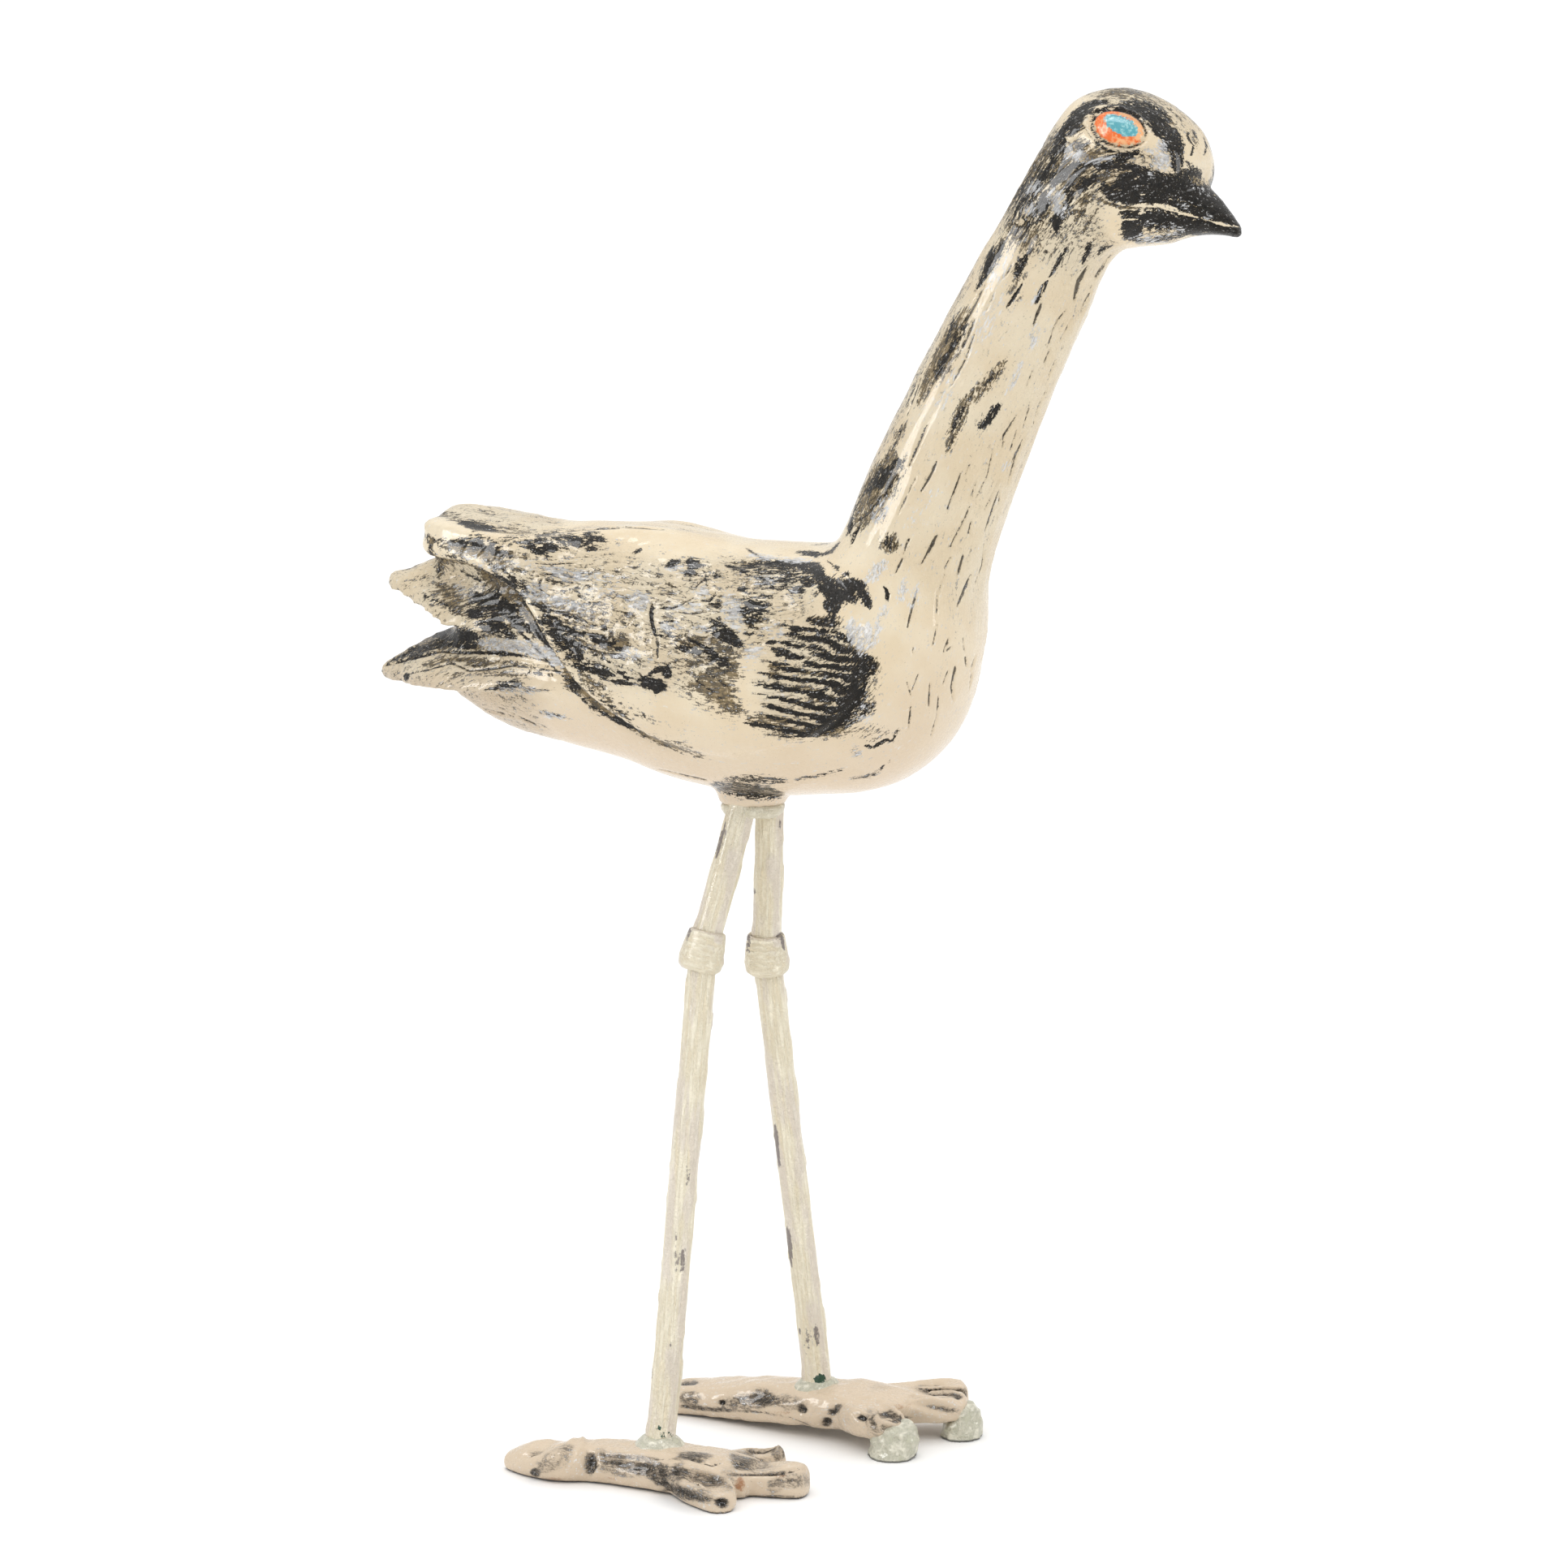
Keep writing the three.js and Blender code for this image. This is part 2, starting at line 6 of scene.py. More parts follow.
import bpy
import numpy as np
from mathutils import Matrix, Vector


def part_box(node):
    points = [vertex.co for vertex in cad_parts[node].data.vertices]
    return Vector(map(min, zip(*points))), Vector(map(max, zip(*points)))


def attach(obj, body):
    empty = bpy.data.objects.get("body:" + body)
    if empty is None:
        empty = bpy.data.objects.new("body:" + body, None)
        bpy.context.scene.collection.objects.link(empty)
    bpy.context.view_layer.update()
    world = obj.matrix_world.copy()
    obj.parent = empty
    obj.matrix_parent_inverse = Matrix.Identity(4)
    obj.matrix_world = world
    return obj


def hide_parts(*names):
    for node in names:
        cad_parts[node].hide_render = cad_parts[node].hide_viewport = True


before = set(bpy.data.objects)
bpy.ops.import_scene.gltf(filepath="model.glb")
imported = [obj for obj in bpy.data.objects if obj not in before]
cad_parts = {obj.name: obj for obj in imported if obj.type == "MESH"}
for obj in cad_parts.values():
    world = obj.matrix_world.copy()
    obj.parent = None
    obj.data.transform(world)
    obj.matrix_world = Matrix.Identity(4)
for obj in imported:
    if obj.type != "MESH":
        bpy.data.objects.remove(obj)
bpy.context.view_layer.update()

# The figure is drawn in millimetres, in its own drawing frame: beak towards +X, the bird's left towards +Y.
MM = 0.001
FULL_TURN = 2 * math.pi
ROD_DIAMETER = 13.8
SOCKET_DEPTH = 5
KNEE_CLEARANCE = 1.4
LEGS = {
    "right": {"hip": (-19.2, -8, 321), "knee": (-34.5, -19, 254), "ankle": (-43.2, -56, 16)},
    "left": {"hip": (-10.3, 8, 321), "knee": (-15.2, 17, 248), "ankle": (-0.8, 53, 21)},
}
COARSE = 1.0


def unit(v):
    v = np.asarray(v, float)
    return v / np.linalg.norm(v)


def past(start, end, distance):
    return np.asarray(end, float) + unit(np.subtract(end, start)) * distance


def rod_ends(leg):
    """Both ends of a leg's upper rod and of its lower rod."""
    hip, knee, ankle = leg["hip"], leg["knee"], leg["ankle"]
    upper = past(hip, knee, -KNEE_CLEARANCE), past(knee, hip, SOCKET_DEPTH)
    lower = np.asarray(ankle, float), past(ankle, knee, -KNEE_CLEARANCE)
    return upper, lower


def drawing_shift():
    """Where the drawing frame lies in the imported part, from the middle of one upper rod."""
    low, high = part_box("right_upper_leg")
    upper, _ = rod_ends(LEGS["right"])
    return (np.array(low) + np.array(high)) / 2 - (upper[0] + upper[1]) / 2 * MM


SHIFT = drawing_shift()

# The photograph's view
PHOTO_SIDE = 1932
CAMERA_AZIMUTH = math.radians(20)
CAMERA_ELEVATION = math.radians(7.7)
CAMERA_TARGET = np.array([0, 0, 334.0])
CAMERA_DISTANCE = 2220.0
PIXEL = 0.39
FOCAL = CAMERA_DISTANCE / PIXEL
SENSOR_MM = 36.0
CAMERA_BACK = np.array(
    [
        math.sin(CAMERA_AZIMUTH) * math.cos(CAMERA_ELEVATION),
        -math.cos(CAMERA_AZIMUTH) * math.cos(CAMERA_ELEVATION),
        math.sin(CAMERA_ELEVATION),
    ]
)
CAMERA_RIGHT = np.array([math.cos(CAMERA_AZIMUTH), math.sin(CAMERA_AZIMUTH), 0])
CAMERA_UP = np.cross(CAMERA_BACK, CAMERA_RIGHT)
CAMERA_PLACE = CAMERA_TARGET + CAMERA_BACK * CAMERA_DISTANCE


def photo_pixels(points):
    """Where points of the drawing frame stand in the photograph."""
    seen = points - CAMERA_PLACE
    depth = -(seen @ CAMERA_BACK)
    u = PHOTO_SIDE / 2 + FOCAL * (seen @ CAMERA_RIGHT) / depth
    v = PHOTO_SIDE / 2 - FOCAL * (seen @ CAMERA_UP) / depth
    return np.stack([u, v], axis=1)


def facing(points, normals):
    """How squarely a surface point faces the photograph's camera."""
    towards = CAMERA_PLACE - points
    towards /= np.linalg.norm(towards, axis=1, keepdims=True)
    return np.sum(towards * normals, axis=1)


# Small curves and mixes of numbers
def smoothstep(low, high, value):
    t = np.clip((value - low) / (high - low), 0, 1)
    return t * t * (3 - 2 * t)


def signed_power(value, exponent):
    return np.sign(value) * np.abs(value) ** exponent


def bump_at(value, middle, width):
    return np.exp(-(((value - middle) / width) ** 2))


def around_half(value):
    """A signed depth as a mask: a half on the edge, 1 inside and 0 outside."""
    return np.clip(0.5 + value, 0, 1)


def both(a, b):
    return 1 - (1 - a) * (1 - b)


# Smooth noise on a lattice, between -1 and 1
AXIS_PRIMES = (73856093, 19349663, 83492791)
SEED_PRIME = 2654435761
MIXING_PRIME = 1274126177
HASH_MASK = 0xFFFFFF
SEED_STEP = 37.3
LAYERED_SEED_STEP = 11


def lattice_hash(cells, seed):
    i, j, k = (cells[:, axis].astype(np.int64) * prime for axis, prime in enumerate(AXIS_PRIMES))
    mixed = i ^ j ^ k ^ (seed * SEED_PRIME)
    mixed = (mixed ^ (mixed >> 13)) * MIXING_PRIME
    mixed = mixed ^ (mixed >> 16)
    return (mixed & HASH_MASK) / float(HASH_MASK // 2) - 1.0


def noise(points, size, seed=0):
    """Value noise whose bumps are about size wide; size may differ along each axis."""
    q = points / np.asarray(size, float) + SEED_STEP * seed
    cell = np.floor(q)
    f = q - cell
    f = f * f * (3 - 2 * f)
    total = np.zeros(len(points))
    for corner in itertools.product((0, 1), repeat=3):
        weight = np.prod(np.where(corner, f, 1 - f), axis=1)
        total += weight * lattice_hash(cell + corner, seed)
    return total


def layered_noise(points, size, seed, layers=3):
    total = np.zeros(len(points))
    for layer in range(layers):
        finer = np.asarray(size, float) / 2**layer
        total += noise(points, finer, seed + LAYERED_SEED_STEP * layer) / 2**layer
    return total / 1.5


def clay(points, bumps=(), layered=(), creases=()):
    """Worked relief: plain bumps, layered bumps and sharp creases, each as height, size and seed."""
    total = np.zeros(len(points))
    for height, size, seed in bumps:
        total += height * noise(points, size, seed)
    for height, size, seed in layered:
        total += height * layered_noise(points, size, seed)
    for depth, size, seed in creases:
        total -= depth * np.abs(noise(points, size, seed))
    return total


def patches(points, size, seed, edge):
    """Patches of noise with soft edges, from 0 to 1."""
    return smoothstep(*edge, noise(points, size, seed))


# Lofts: rows of section values, rings of points and closed skins
SECTION_STEPS = 8
SLICE_STEPS = 4


def rows_at(rows, places):
    rows = np.asarray(rows, float)
    last = len(rows) - 1
    index = np.minimum(np.floor(places).astype(int), last - 1)
    t = (places - index)[:, None]
    a, b, c, d = (rows[np.clip(index + k, 0, last)] for k in (-1, 0, 1, 2))
    slope_b = (c - a) / 2
    slope_c = (d - b) / 2
    return (
        (2 * t**3 - 3 * t**2 + 1) * b
        + (t**3 - 2 * t**2 + t) * slope_b
        + (3 * t**2 - 2 * t**3) * c
        + (t**3 - t**2) * slope_c
    )


def refined(rows, steps=SECTION_STEPS):
    return rows_at(rows, np.linspace(0, len(rows) - 1, (len(rows) - 1) * steps + 1))


def closed_curve(points, steps):
    rows = np.array(points, float)
    wrapped = np.concatenate([rows[-2:], rows, rows[:3]])
    return rows_at(wrapped, 2 + np.arange(len(rows) * steps) / steps)


def columns(rows):
    """Each column of a table of sections, ready to be spread over the ring's angles."""
    return np.asarray(rows, float).T[:, :, None]


def round_angles(sides):
    return np.arange(sides) / sides * FULL_TURN


def band_faces(rings, sides, closed=False):
    """Two triangles between each two neighbours of a ring and the ring after it."""
    ring, side = np.meshgrid(np.arange(rings if closed else rings - 1), np.arange(sides), indexing="ij")
    start = (ring * sides).ravel()
    after = ((ring + 1) % rings * sides).ravel()
    side = side.ravel()
    beside = (side + 1) % sides
    first = np.stack([start + side, start + beside, after + side], 1)
    second = np.stack([start + beside, after + beside, after + side], 1)
    return np.concatenate([first, second])


def facing_out(points, faces):
    corners = points[faces]
    volume = np.sum(corners[:, 0] * np.cross(corners[:, 1], corners[:, 2]))
    return faces if volume > 0 else faces[:, ::-1]


def skin(rings):
    """A closed skin of triangles over rings of equally many points, facing out."""
    rings = np.asarray(rings)
    count, sides = rings.shape[:2]
    points = np.concatenate([rings.reshape(-1, 3), rings[0].mean(0)[None], rings[-1].mean(0)[None]])
    side = np.arange(sides)
    beside = (side + 1) % sides
    last_ring = (count - 1) * sides
    first_cap = np.stack([np.full(sides, count * sides), beside, side], 1)
    last_cap = np.stack([np.full(sides, count * sides + 1), last_ring + side, last_ring + beside], 1)
    faces = np.concatenate([band_faces(count, sides), first_cap, last_cap])
    return points, facing_out(points, faces)


def linked(name, data):
    made = bpy.data.objects.new(name, data)
    bpy.context.scene.collection.objects.link(made)
    return made


def fused(shells, voxel, rounds):
    """Overlapping shells remeshed into one even skin of triangles, softened like worked clay."""
    starts = np.cumsum([0] + [len(points) for points, _ in shells])
    points = np.concatenate([points for points, _ in shells])
    faces = np.concatenate([faces + start for (_, faces), start in zip(shells, starts)])
    mesh = bpy.data.meshes.new("fusing")
    mesh.from_pydata(points.tolist(), [], faces.tolist())
    maker = linked("fusing", mesh)
    remesh = maker.modifiers.new("fusing", "REMESH")
    remesh.mode = "VOXEL"
    remesh.voxel_size = voxel * COARSE
    even = maker.evaluated_get(bpy.context.evaluated_depsgraph_get()).to_mesh()
    points = np.empty(len(even.vertices) * 3)
    even.vertices.foreach_get("co", points)
    even.calc_loop_triangles()
    faces = np.empty(len(even.loop_triangles) * 3, np.int32)
    even.loop_triangles.foreach_get("vertices", faces)
    bpy.data.objects.remove(maker)
    bpy.data.meshes.remove(mesh)
    points = points.reshape(-1, 3)
    faces = faces.reshape(-1, 3).astype(np.int64)
    return relaxed(points, faces, rounds), faces


# Skins of triangles: edges, smoothing, normals and finer triangles where they are wanted
SMOOTHING_PUSHES = (0.5, -0.52)


def edges_of(faces):
    """Each edge once, and the three edges of every face."""
    pairs = np.sort(np.concatenate([faces[:, [0, 1]], faces[:, [1, 2]], faces[:, [2, 0]]]), axis=1)
    keys = pairs[:, 0] * (faces.max() + 1) + pairs[:, 1]
    _, first, back = np.unique(keys, return_index=True, return_inverse=True)
    return pairs[first], back.reshape(3, -1).T


def neighbour_mean(values, edges):
    count = np.bincount(edges.ravel(), minlength=len(values)).astype(float)
    out = np.empty_like(values, dtype=float)
    flat = values.reshape(len(values), -1)
    flat_out = out.reshape(len(values), -1)
    for k in range(flat.shape[1]):
        total = np.bincount(edges[:, 0], flat[edges[:, 1], k], len(values))
        total += np.bincount(edges[:, 1], flat[edges[:, 0], k], len(values))
        flat_out[:, k] = total / count
    return out


def relaxed(points, faces, rounds):
    """Smooths a skin without shrinking it."""
    edges, _ = edges_of(faces)
    for push in SMOOTHING_PUSHES * rounds:
        points = points + push * (neighbour_mean(points, edges) - points)
    return points


def softened(values, edges, rounds):
    for _ in range(rounds):
        values = 0.5 * values + 0.5 * neighbour_mean(values, edges)
    return values


def normals_of(points, faces):
    a, b, c = (points[faces[:, k]] for k in range(3))
    face_normals = np.cross(b - a, c - a)
    out = np.zeros_like(points)
    for axis in range(3):
        for corner in range(3):
            out[:, axis] += np.bincount(faces[:, corner], face_normals[:, axis], len(points))
    return out / np.maximum(np.linalg.norm(out, axis=1, keepdims=True), 1e-12)


def split_where(points, faces, wanted):
    """Halves the edges of every triangle that has a wanted corner, without leaving cracks."""
    edges, edge_of_face = edges_of(faces)
    marked = np.zeros(len(edges), bool)
    marked[edge_of_face[wanted[faces].any(axis=1)]] = True
    middle = np.full(len(edges), -1)
    middle[marked] = len(points) + np.arange(marked.sum())
    points = np.concatenate([points, points[edges[marked]].mean(axis=1)])
    halves = middle[edge_of_face]
    how_many = (halves >= 0).sum(axis=1)
    made = [faces[how_many == 0]]
    full = how_many == 3
    (a, b, c), (ab, bc, ca) = faces[full].T, halves[full].T
    for trio in ((a, ab, ca), (ab, b, bc), (ca, bc, c), (ab, bc, ca)):
        made.append(np.stack(trio, 1))
    for turn in range(3):
        order = [turn, (turn + 1) % 3, (turn + 2) % 3]
        f, h = faces[:, order], halves[:, order]
        one = (how_many == 1) & (h[:, 0] >= 0)
        (a, b, c), ab = f[one].T, h[one, 0]
        made += [np.stack([a, ab, c], 1), np.stack([ab, b, c], 1)]
        two = (how_many == 2) & (h[:, 2] < 0)
        (a, b, c), ab, bc = f[two].T, h[two, 0], h[two, 1]
        made += [np.stack([ab, b, bc], 1), np.stack([a, ab, bc], 1), np.stack([a, bc, c], 1)]
    return points, np.concatenate(made)


# Marks are drawn where the photograph shows them, in its own pixels.
MARK_REACH = 9.0
STROKE_TAPER = 0.6
SOFTNESS_LEAST = 1.2
SOFTNESS_BY_WIDTH = 0.25
SOFTNESS_MOST = 4.0
DAB_FADE = (1.35, 0.6)
SEEN_FADE = (0.02, 0.28)
NEAR_SIDE_FADE = (0.05, 0.35)


def stroke_depth(uv, width, spots):
    """How far inside a tapering stroke each point lies, in pixels, down to MARK_REACH outside it."""
    depth = np.full(len(uv), -MARK_REACH)
    spots = np.array(spots, float)
    reach = width / 2 + MARK_REACH
    low, high = spots.min(0) - reach, spots.max(0) + reach
    near = np.flatnonzero(np.all((uv > low) & (uv < high), axis=1))
    q = uv[near]
    runs = np.linalg.norm(np.diff(spots, axis=0), axis=1)
    done = 0.0
    for a, b, run in zip(spots[:-1], spots[1:], runs):
        t = np.clip((q - a) @ (b - a) / run**2, 0, 1)
        gap = np.linalg.norm(q - (a + t[:, None] * (b - a)), axis=1)
        place = (done + t * run) / runs.sum()
        half = width / 2 * (1 - STROKE_TAPER * np.abs(2 * place - 1) ** 3)
        depth[near] = np.maximum(depth[near], half - gap)
        done += run
    return depth


def inside_marks(uv, marks):
    depth = np.full(len(uv), -MARK_REACH)
    for width, *spots in marks:
        depth = np.maximum(depth, stroke_depth(uv, width, spots))
    return depth


def in_strokes(uv, strokes, most=SOFTNESS_MOST):
    """Coverage by brush strokes: width, strength and the spots that the brush passes."""
    bare = np.ones(len(uv))
    for width, strength, *spots in strokes:
        soft = min(SOFTNESS_LEAST + SOFTNESS_BY_WIDTH * width, most)
        bare *= 1 - strength * smoothstep(-soft, soft, stroke_depth(uv, width, spots))
    return 1 - bare


def oval_reach(uv, u, v, reach_u, reach_v, turn):
    """Distance from an oval's middle, where its edge is at 1."""
    angle = math.radians(turn)
    du, dv = uv[:, 0] - u, uv[:, 1] - v
    along = (du * math.cos(angle) + dv * math.sin(angle)) / reach_u
    across = (dv * math.cos(angle) - du * math.sin(angle)) / reach_v
    return np.hypot(along, across)


def in_dabs(uv, dabs):
    """Coverage by soft oval dabs: middle, half sizes, turn in degrees and strength."""
    bare = np.ones(len(uv))
    for *oval, strength in dabs:
        bare *= 1 - strength * smoothstep(*DAB_FADE, oval_reach(uv, *oval))
    return 1 - bare


def swell(uv, dabs):
    """Millimetres of clay pressed up or down by oval dabs: middle, half sizes, turn and rise."""
    total = np.zeros(len(uv))
    for *oval, rise in dabs:
        total += rise * np.exp(-(oval_reach(uv, *oval) ** 2))
    return total


class Sight:
    """Reads marks off the photograph's view, and off its mirror image for the side that it hides."""

    def __init__(self, points, normals, mirror=None):
        self.own = photo_pixels(points)
        square = facing(points, normals)
        self.own_fade = smoothstep(*SEEN_FADE, square)
        self.weight = self.own_fade
        self.other = None
        if mirror is not None:
            mirrored, is_near = mirror
            self.other = photo_pixels(mirrored)
            self.other_fade = smoothstep(*SEEN_FADE, facing(mirrored, normals * (1, -1, 1)))
            self.weight = np.where(is_near, 1.0, smoothstep(*NEAR_SIDE_FADE, square))

    def read(self, field, *given):
        seen = self.weight * field(self.own, *given)
        if self.other is None:
            return seen
        return seen + (1 - self.weight) * field(self.other, *given)

    def read_marks(self, marks):
        own = inside_marks(self.own, marks) - (1 - self.own_fade * self.weight) * MARK_REACH
        if self.other is None:
            return own
        hidden = np.maximum(self.weight, 1 - self.other_fade)
        return np.maximum(own, inside_marks(self.other, marks) - hidden * MARK_REACH)

    def paint(self, dabs, strokes=()):
        painted = self.read(in_dabs, dabs)
        return both(painted, self.read(in_strokes, strokes)) if strokes else painted


# The body: sections from the tail end to the forehead (back x, back z, belly x, belly z, half width)
BODY_SECTIONS = [
    (-172, 400, -172, 376, 16), (-150, 434, -155, 363.5, 27), (-128, 455, -133, 354.5, 37),
    (-103, 458.5, -108, 349, 45), (-74, 459, -77, 343, 52), (-44, 455.5, -48, 334.5, 57),
    (-18, 451.5, -17, 330, 60), (4, 451, 15, 330, 61), (24, 451, 56, 337, 60),
    (32, 455, 85, 362, 55), (35.5, 462, 97, 402, 46.5), (40.5, 474, 100.5, 439, 38),
    (56.5, 508.5, 120.5, 495, 33.5), (81, 555, 142.5, 548, 31.5), (104.5, 596.5, 157, 582, 29.5),
    (124, 626.5, 168, 591, 30.5), (141.5, 654, 179, 592.5, 32), (155, 662.5, 187, 595, 32.5),
    (171, 663.5, 193, 599, 31.5), (188, 657.5, 197, 603.5, 29.5), (200.5, 647.5, 199.5, 608, 25.5),
    (205, 640, 203, 612, 21), (207.5, 633.5, 205.5, 616.5, 15), (208.3, 628, 207.5, 622, 8),
]
BEAK_SECTIONS = [
    (172, 632, 168, 591, 27), (183, 631, 178, 591.5, 23.5), (194, 627.5, 189, 592.5, 19),
    (205.5, 622, 199, 595.5, 14.8), (214, 615.5, 208, 597, 11), (220.5, 608.5, 216, 597, 8),
    (225, 602, 223, 596, 5.4), (227, 599, 226.3, 596.2, 3),
]
# The joined wing tips: x, top z, lower z, half width
RUMP_SECTIONS = [
    (-72, 451, 402, 38), (-96, 456, 407, 42), (-116, 458, 414, 42), (-136, 460.5, 423, 38),
    (-156, 463.5, 429, 32), (-168, 464, 432, 27.5), (-174.5, 463, 434, 23), (-177.5, 459, 438, 16),
]
# Tail leaves: x, crest z, half width, droop of the rims, thickness
UPPER_LEAF_SECTIONS = [
    (-108, 446, 36, 38, 10), (-124, 452, 43, 43, 12), (-140, 452, 42, 42, 12), (-160, 447, 35, 34, 11.5),
    (-178, 440, 25, 20, 11), (-193, 434.5, 15, 9, 9.5), (-203, 430.5, 7.5, 3, 7.5),
    (-207, 428.5, 3.5, 0.5, 4.5),
]
LOWER_LEAF_SECTIONS = [
    (-78, 404, 36, 16, 9), (-100, 411, 47, 24, 12.5), (-128, 411.5, 47, 26, 13), (-155, 409, 41, 25, 12.5),
    (-178, 402.5, 31, 18, 12), (-195, 393.5, 18, 9.5, 11), (-206.5, 387, 8.5, 3.5, 9),
    (-211.5, 384, 4, 0.5, 5),
]
# The clay boss under the belly: z, half length, half width
BOSS_X = -16
BOSS_SECTIONS = [(342, 23, 21), (334, 19.5, 17.5), (327, 17, 15.5), (323.5, 15.5, 14)]
# The wing seen from the side: x, z
WING_OUTLINE = [
    (34, 443), (52, 434), (60, 414), (59, 394), (50, 377), (32, 364), (6, 356), (-19, 354), (-49, 361),
    (-78, 378), (-97, 397), (-112, 417), (-126, 429), (-150, 438), (-176, 442), (-184, 452), (-174, 459),
    (-120, 453.5), (-64, 458), (-15, 453),
]
WING_OUTLINE_STEPS = 5
BODY_FULLNESS = 0.92
LEAF_FULLNESS = 0.8
LEAF_DROOP_POWER = 1.35
BODY_SIDES = 96
BEAK_SIDES = 64
LEAF_SIDES = 56
LUMP_SIDES = 40
HEAD_TURN = math.radians(-8)
HEAD_PIVOT_X = 130
HEAD_TURN_FROM_Z = 560
HEAD_TURN_FULL_Z = 610


def head_turned(points, sense=1):
    """The head and beak look a little to the bird's right; sense -1 undoes it."""
    angle = sense * HEAD_TURN * smoothstep(HEAD_TURN_FROM_Z, HEAD_TURN_FULL_Z, points[:, 2])
    forward = points[:, 0] - HEAD_PIVOT_X
    turned = points.copy()
    turned[:, 0] = HEAD_PIVOT_X + forward * np.cos(angle) - points[:, 1] * np.sin(angle)
    turned[:, 1] = forward * np.sin(angle) + points[:, 1] * np.cos(angle)
    return turned


def body_skin(sections, sides):
    angle = round_angles(sides)
    along = (1 - signed_power(np.cos(angle), BODY_FULLNESS)) / 2
    across = signed_power(np.sin(angle), BODY_FULLNESS)
    back_x, back_z, belly_x, belly_z, half_width = columns(refined(sections))
    x = back_x + (belly_x - back_x) * along
    z = back_z + (belly_z - back_z) * along
    rings = np.stack([x, across * half_width, z], axis=2)
    return skin(head_turned(rings.reshape(-1, 3)).reshape(rings.shape))


def leaf_skin(sections):
    angle = round_angles(LEAF_SIDES)
    across = np.cos(angle)
    x, crest, half_width, droop, thickness = columns(refined(sections))
    middle = crest - thickness / 2 - droop * np.abs(across) ** LEAF_DROOP_POWER
    z = middle + thickness / 2 * signed_power(np.sin(angle), LEAF_FULLNESS)
    return skin(np.stack([x + 0 * z, across * half_width, z], axis=2))


def lump_skin(slices, x, y):
    """An upright lump of oval slices, each given as z, half length and half width."""
    angle = round_angles(LUMP_SIDES)
    z, half_length, half_width = columns(refined(slices, SLICE_STEPS))
    return skin(np.stack([x + half_length * np.cos(angle), y + half_width * np.sin(angle), z + 0 * angle], 2))


def body_shells():
    rump = [(x, top, x, low, width) for x, top, low, width in RUMP_SECTIONS]
    return [
        body_skin(BODY_SECTIONS, BODY_SIDES),
        body_skin(BEAK_SECTIONS, BEAK_SIDES),
        body_skin(rump, BEAK_SIDES),
        leaf_skin(UPPER_LEAF_SECTIONS),
        leaf_skin(LOWER_LEAF_SECTIONS),
        lump_skin(BOSS_SECTIONS, BOSS_X, 0),
    ]


# Places on the body: along its sections, and from the back to the belly
PLACE_STEPS = 16
PLACE_BATCH = 20000
FINE_SECTIONS = refined(BODY_SECTIONS, PLACE_STEPS)
FINE_BACK = FINE_SECTIONS[:, [0, 1]]
FINE_BELLY = FINE_SECTIONS[:, [2, 3]]


def body_places(straight):
    """For each point its place along the sections, and how far it lies from the back to the belly."""
    span = FINE_BELLY - FINE_BACK
    length = np.sum(span * span, axis=1)
    place = np.empty(len(straight))
    down = np.empty(len(straight))
    for start in range(0, len(straight), PLACE_BATCH):
        batch = slice(start, start + PLACE_BATCH)
        q = straight[batch][:, [0, 2]]
        t = ((q @ span.T) - np.sum(FINE_BACK * span, axis=1)) / length
        held = np.clip(t, 0, 1)
        off_x = q[:, :1] - (FINE_BACK[:, 0] + held * span[:, 0])
        off_z = q[:, 1:] - (FINE_BACK[:, 1] + held * span[:, 1])
        best = np.argmin(off_x**2 + off_z**2, axis=1)
        place[batch] = best / PLACE_STEPS
        down[batch] = t[np.arange(len(q)), best]
    return place, down


def flow_of(straight, place, down):
    """Millimetres along the bird, across it and from back to belly, for marks that run with the clay."""
    middle = (FINE_BACK + FINE_BELLY) / 2
    run = np.concatenate([[0], np.cumsum(np.linalg.norm(np.diff(middle, axis=0), axis=1))])
    depth = np.linalg.norm(FINE_BELLY - FINE_BACK, axis=1)
    at = np.clip(place * PLACE_STEPS, 0, len(run) - 1)
    along = np.interp(at, np.arange(len(run)), run)
    past_tail = np.minimum(straight[:, 0] - BODY_SECTIONS[0][0], 0)
    height = (down - 0.5) * np.interp(at, np.arange(len(run)), depth)
    return np.stack([along + past_tail, straight[:, 1], height], axis=1)


def depth_in_wing(straight):
    """Millimetres inside the wing's outline, negative outside, seen from the side."""
    outline = closed_curve(WING_OUTLINE, WING_OUTLINE_STEPS)
    q = straight[:, [0, 2]]
    gap = np.full(len(q), np.inf)
    inside = np.zeros(len(q), bool)
    for a, b in zip(outline, np.roll(outline, -1, axis=0)):
        t = np.clip((q - a) @ (b - a) / np.sum((b - a) ** 2), 0, 1)
        gap = np.minimum(gap, np.linalg.norm(q - (a + t[:, None] * (b - a)), axis=1))
        crosses = (a[1] > q[:, 1]) != (b[1] > q[:, 1])
        rise = (b[1] - a[1]) or 1e-9
        inside ^= crosses & (q[:, 0] < a[0] + (q[:, 1] - a[1]) / rise * (b[0] - a[0]))
    return np.where(inside, gap, -gap)


# The eye in the photograph's pixels, as ovals: middle, half sizes and turn
EYE = (1379, 158, 31, 20.5, 15)
IRIS = (1383, 157, 22, 11, 26)
EYE_PALE_DABS = [(1403, 160, 8, 13, 0, 0.95), (1392, 143, 13, 4, 20, 0.6), (1386, 176, 12, 3, 5, 0.5)]
# Heights in millimetres; each rim also has a middle and a width, where the oval's edge is at 1
EYE_DOME = 2.0
EYE_GROOVE = 1.0
EYE_GROOVE_RIM = (1.08, 0.08)
IRIS_RISE = 0.35
IRIS_RIM = (1.0, 0.14)
LID_LEAST = 0.5
LID_BEHIND = 1.0
LID_RIM = (1.3, 0.12)
LID_FADE = (20, -30)


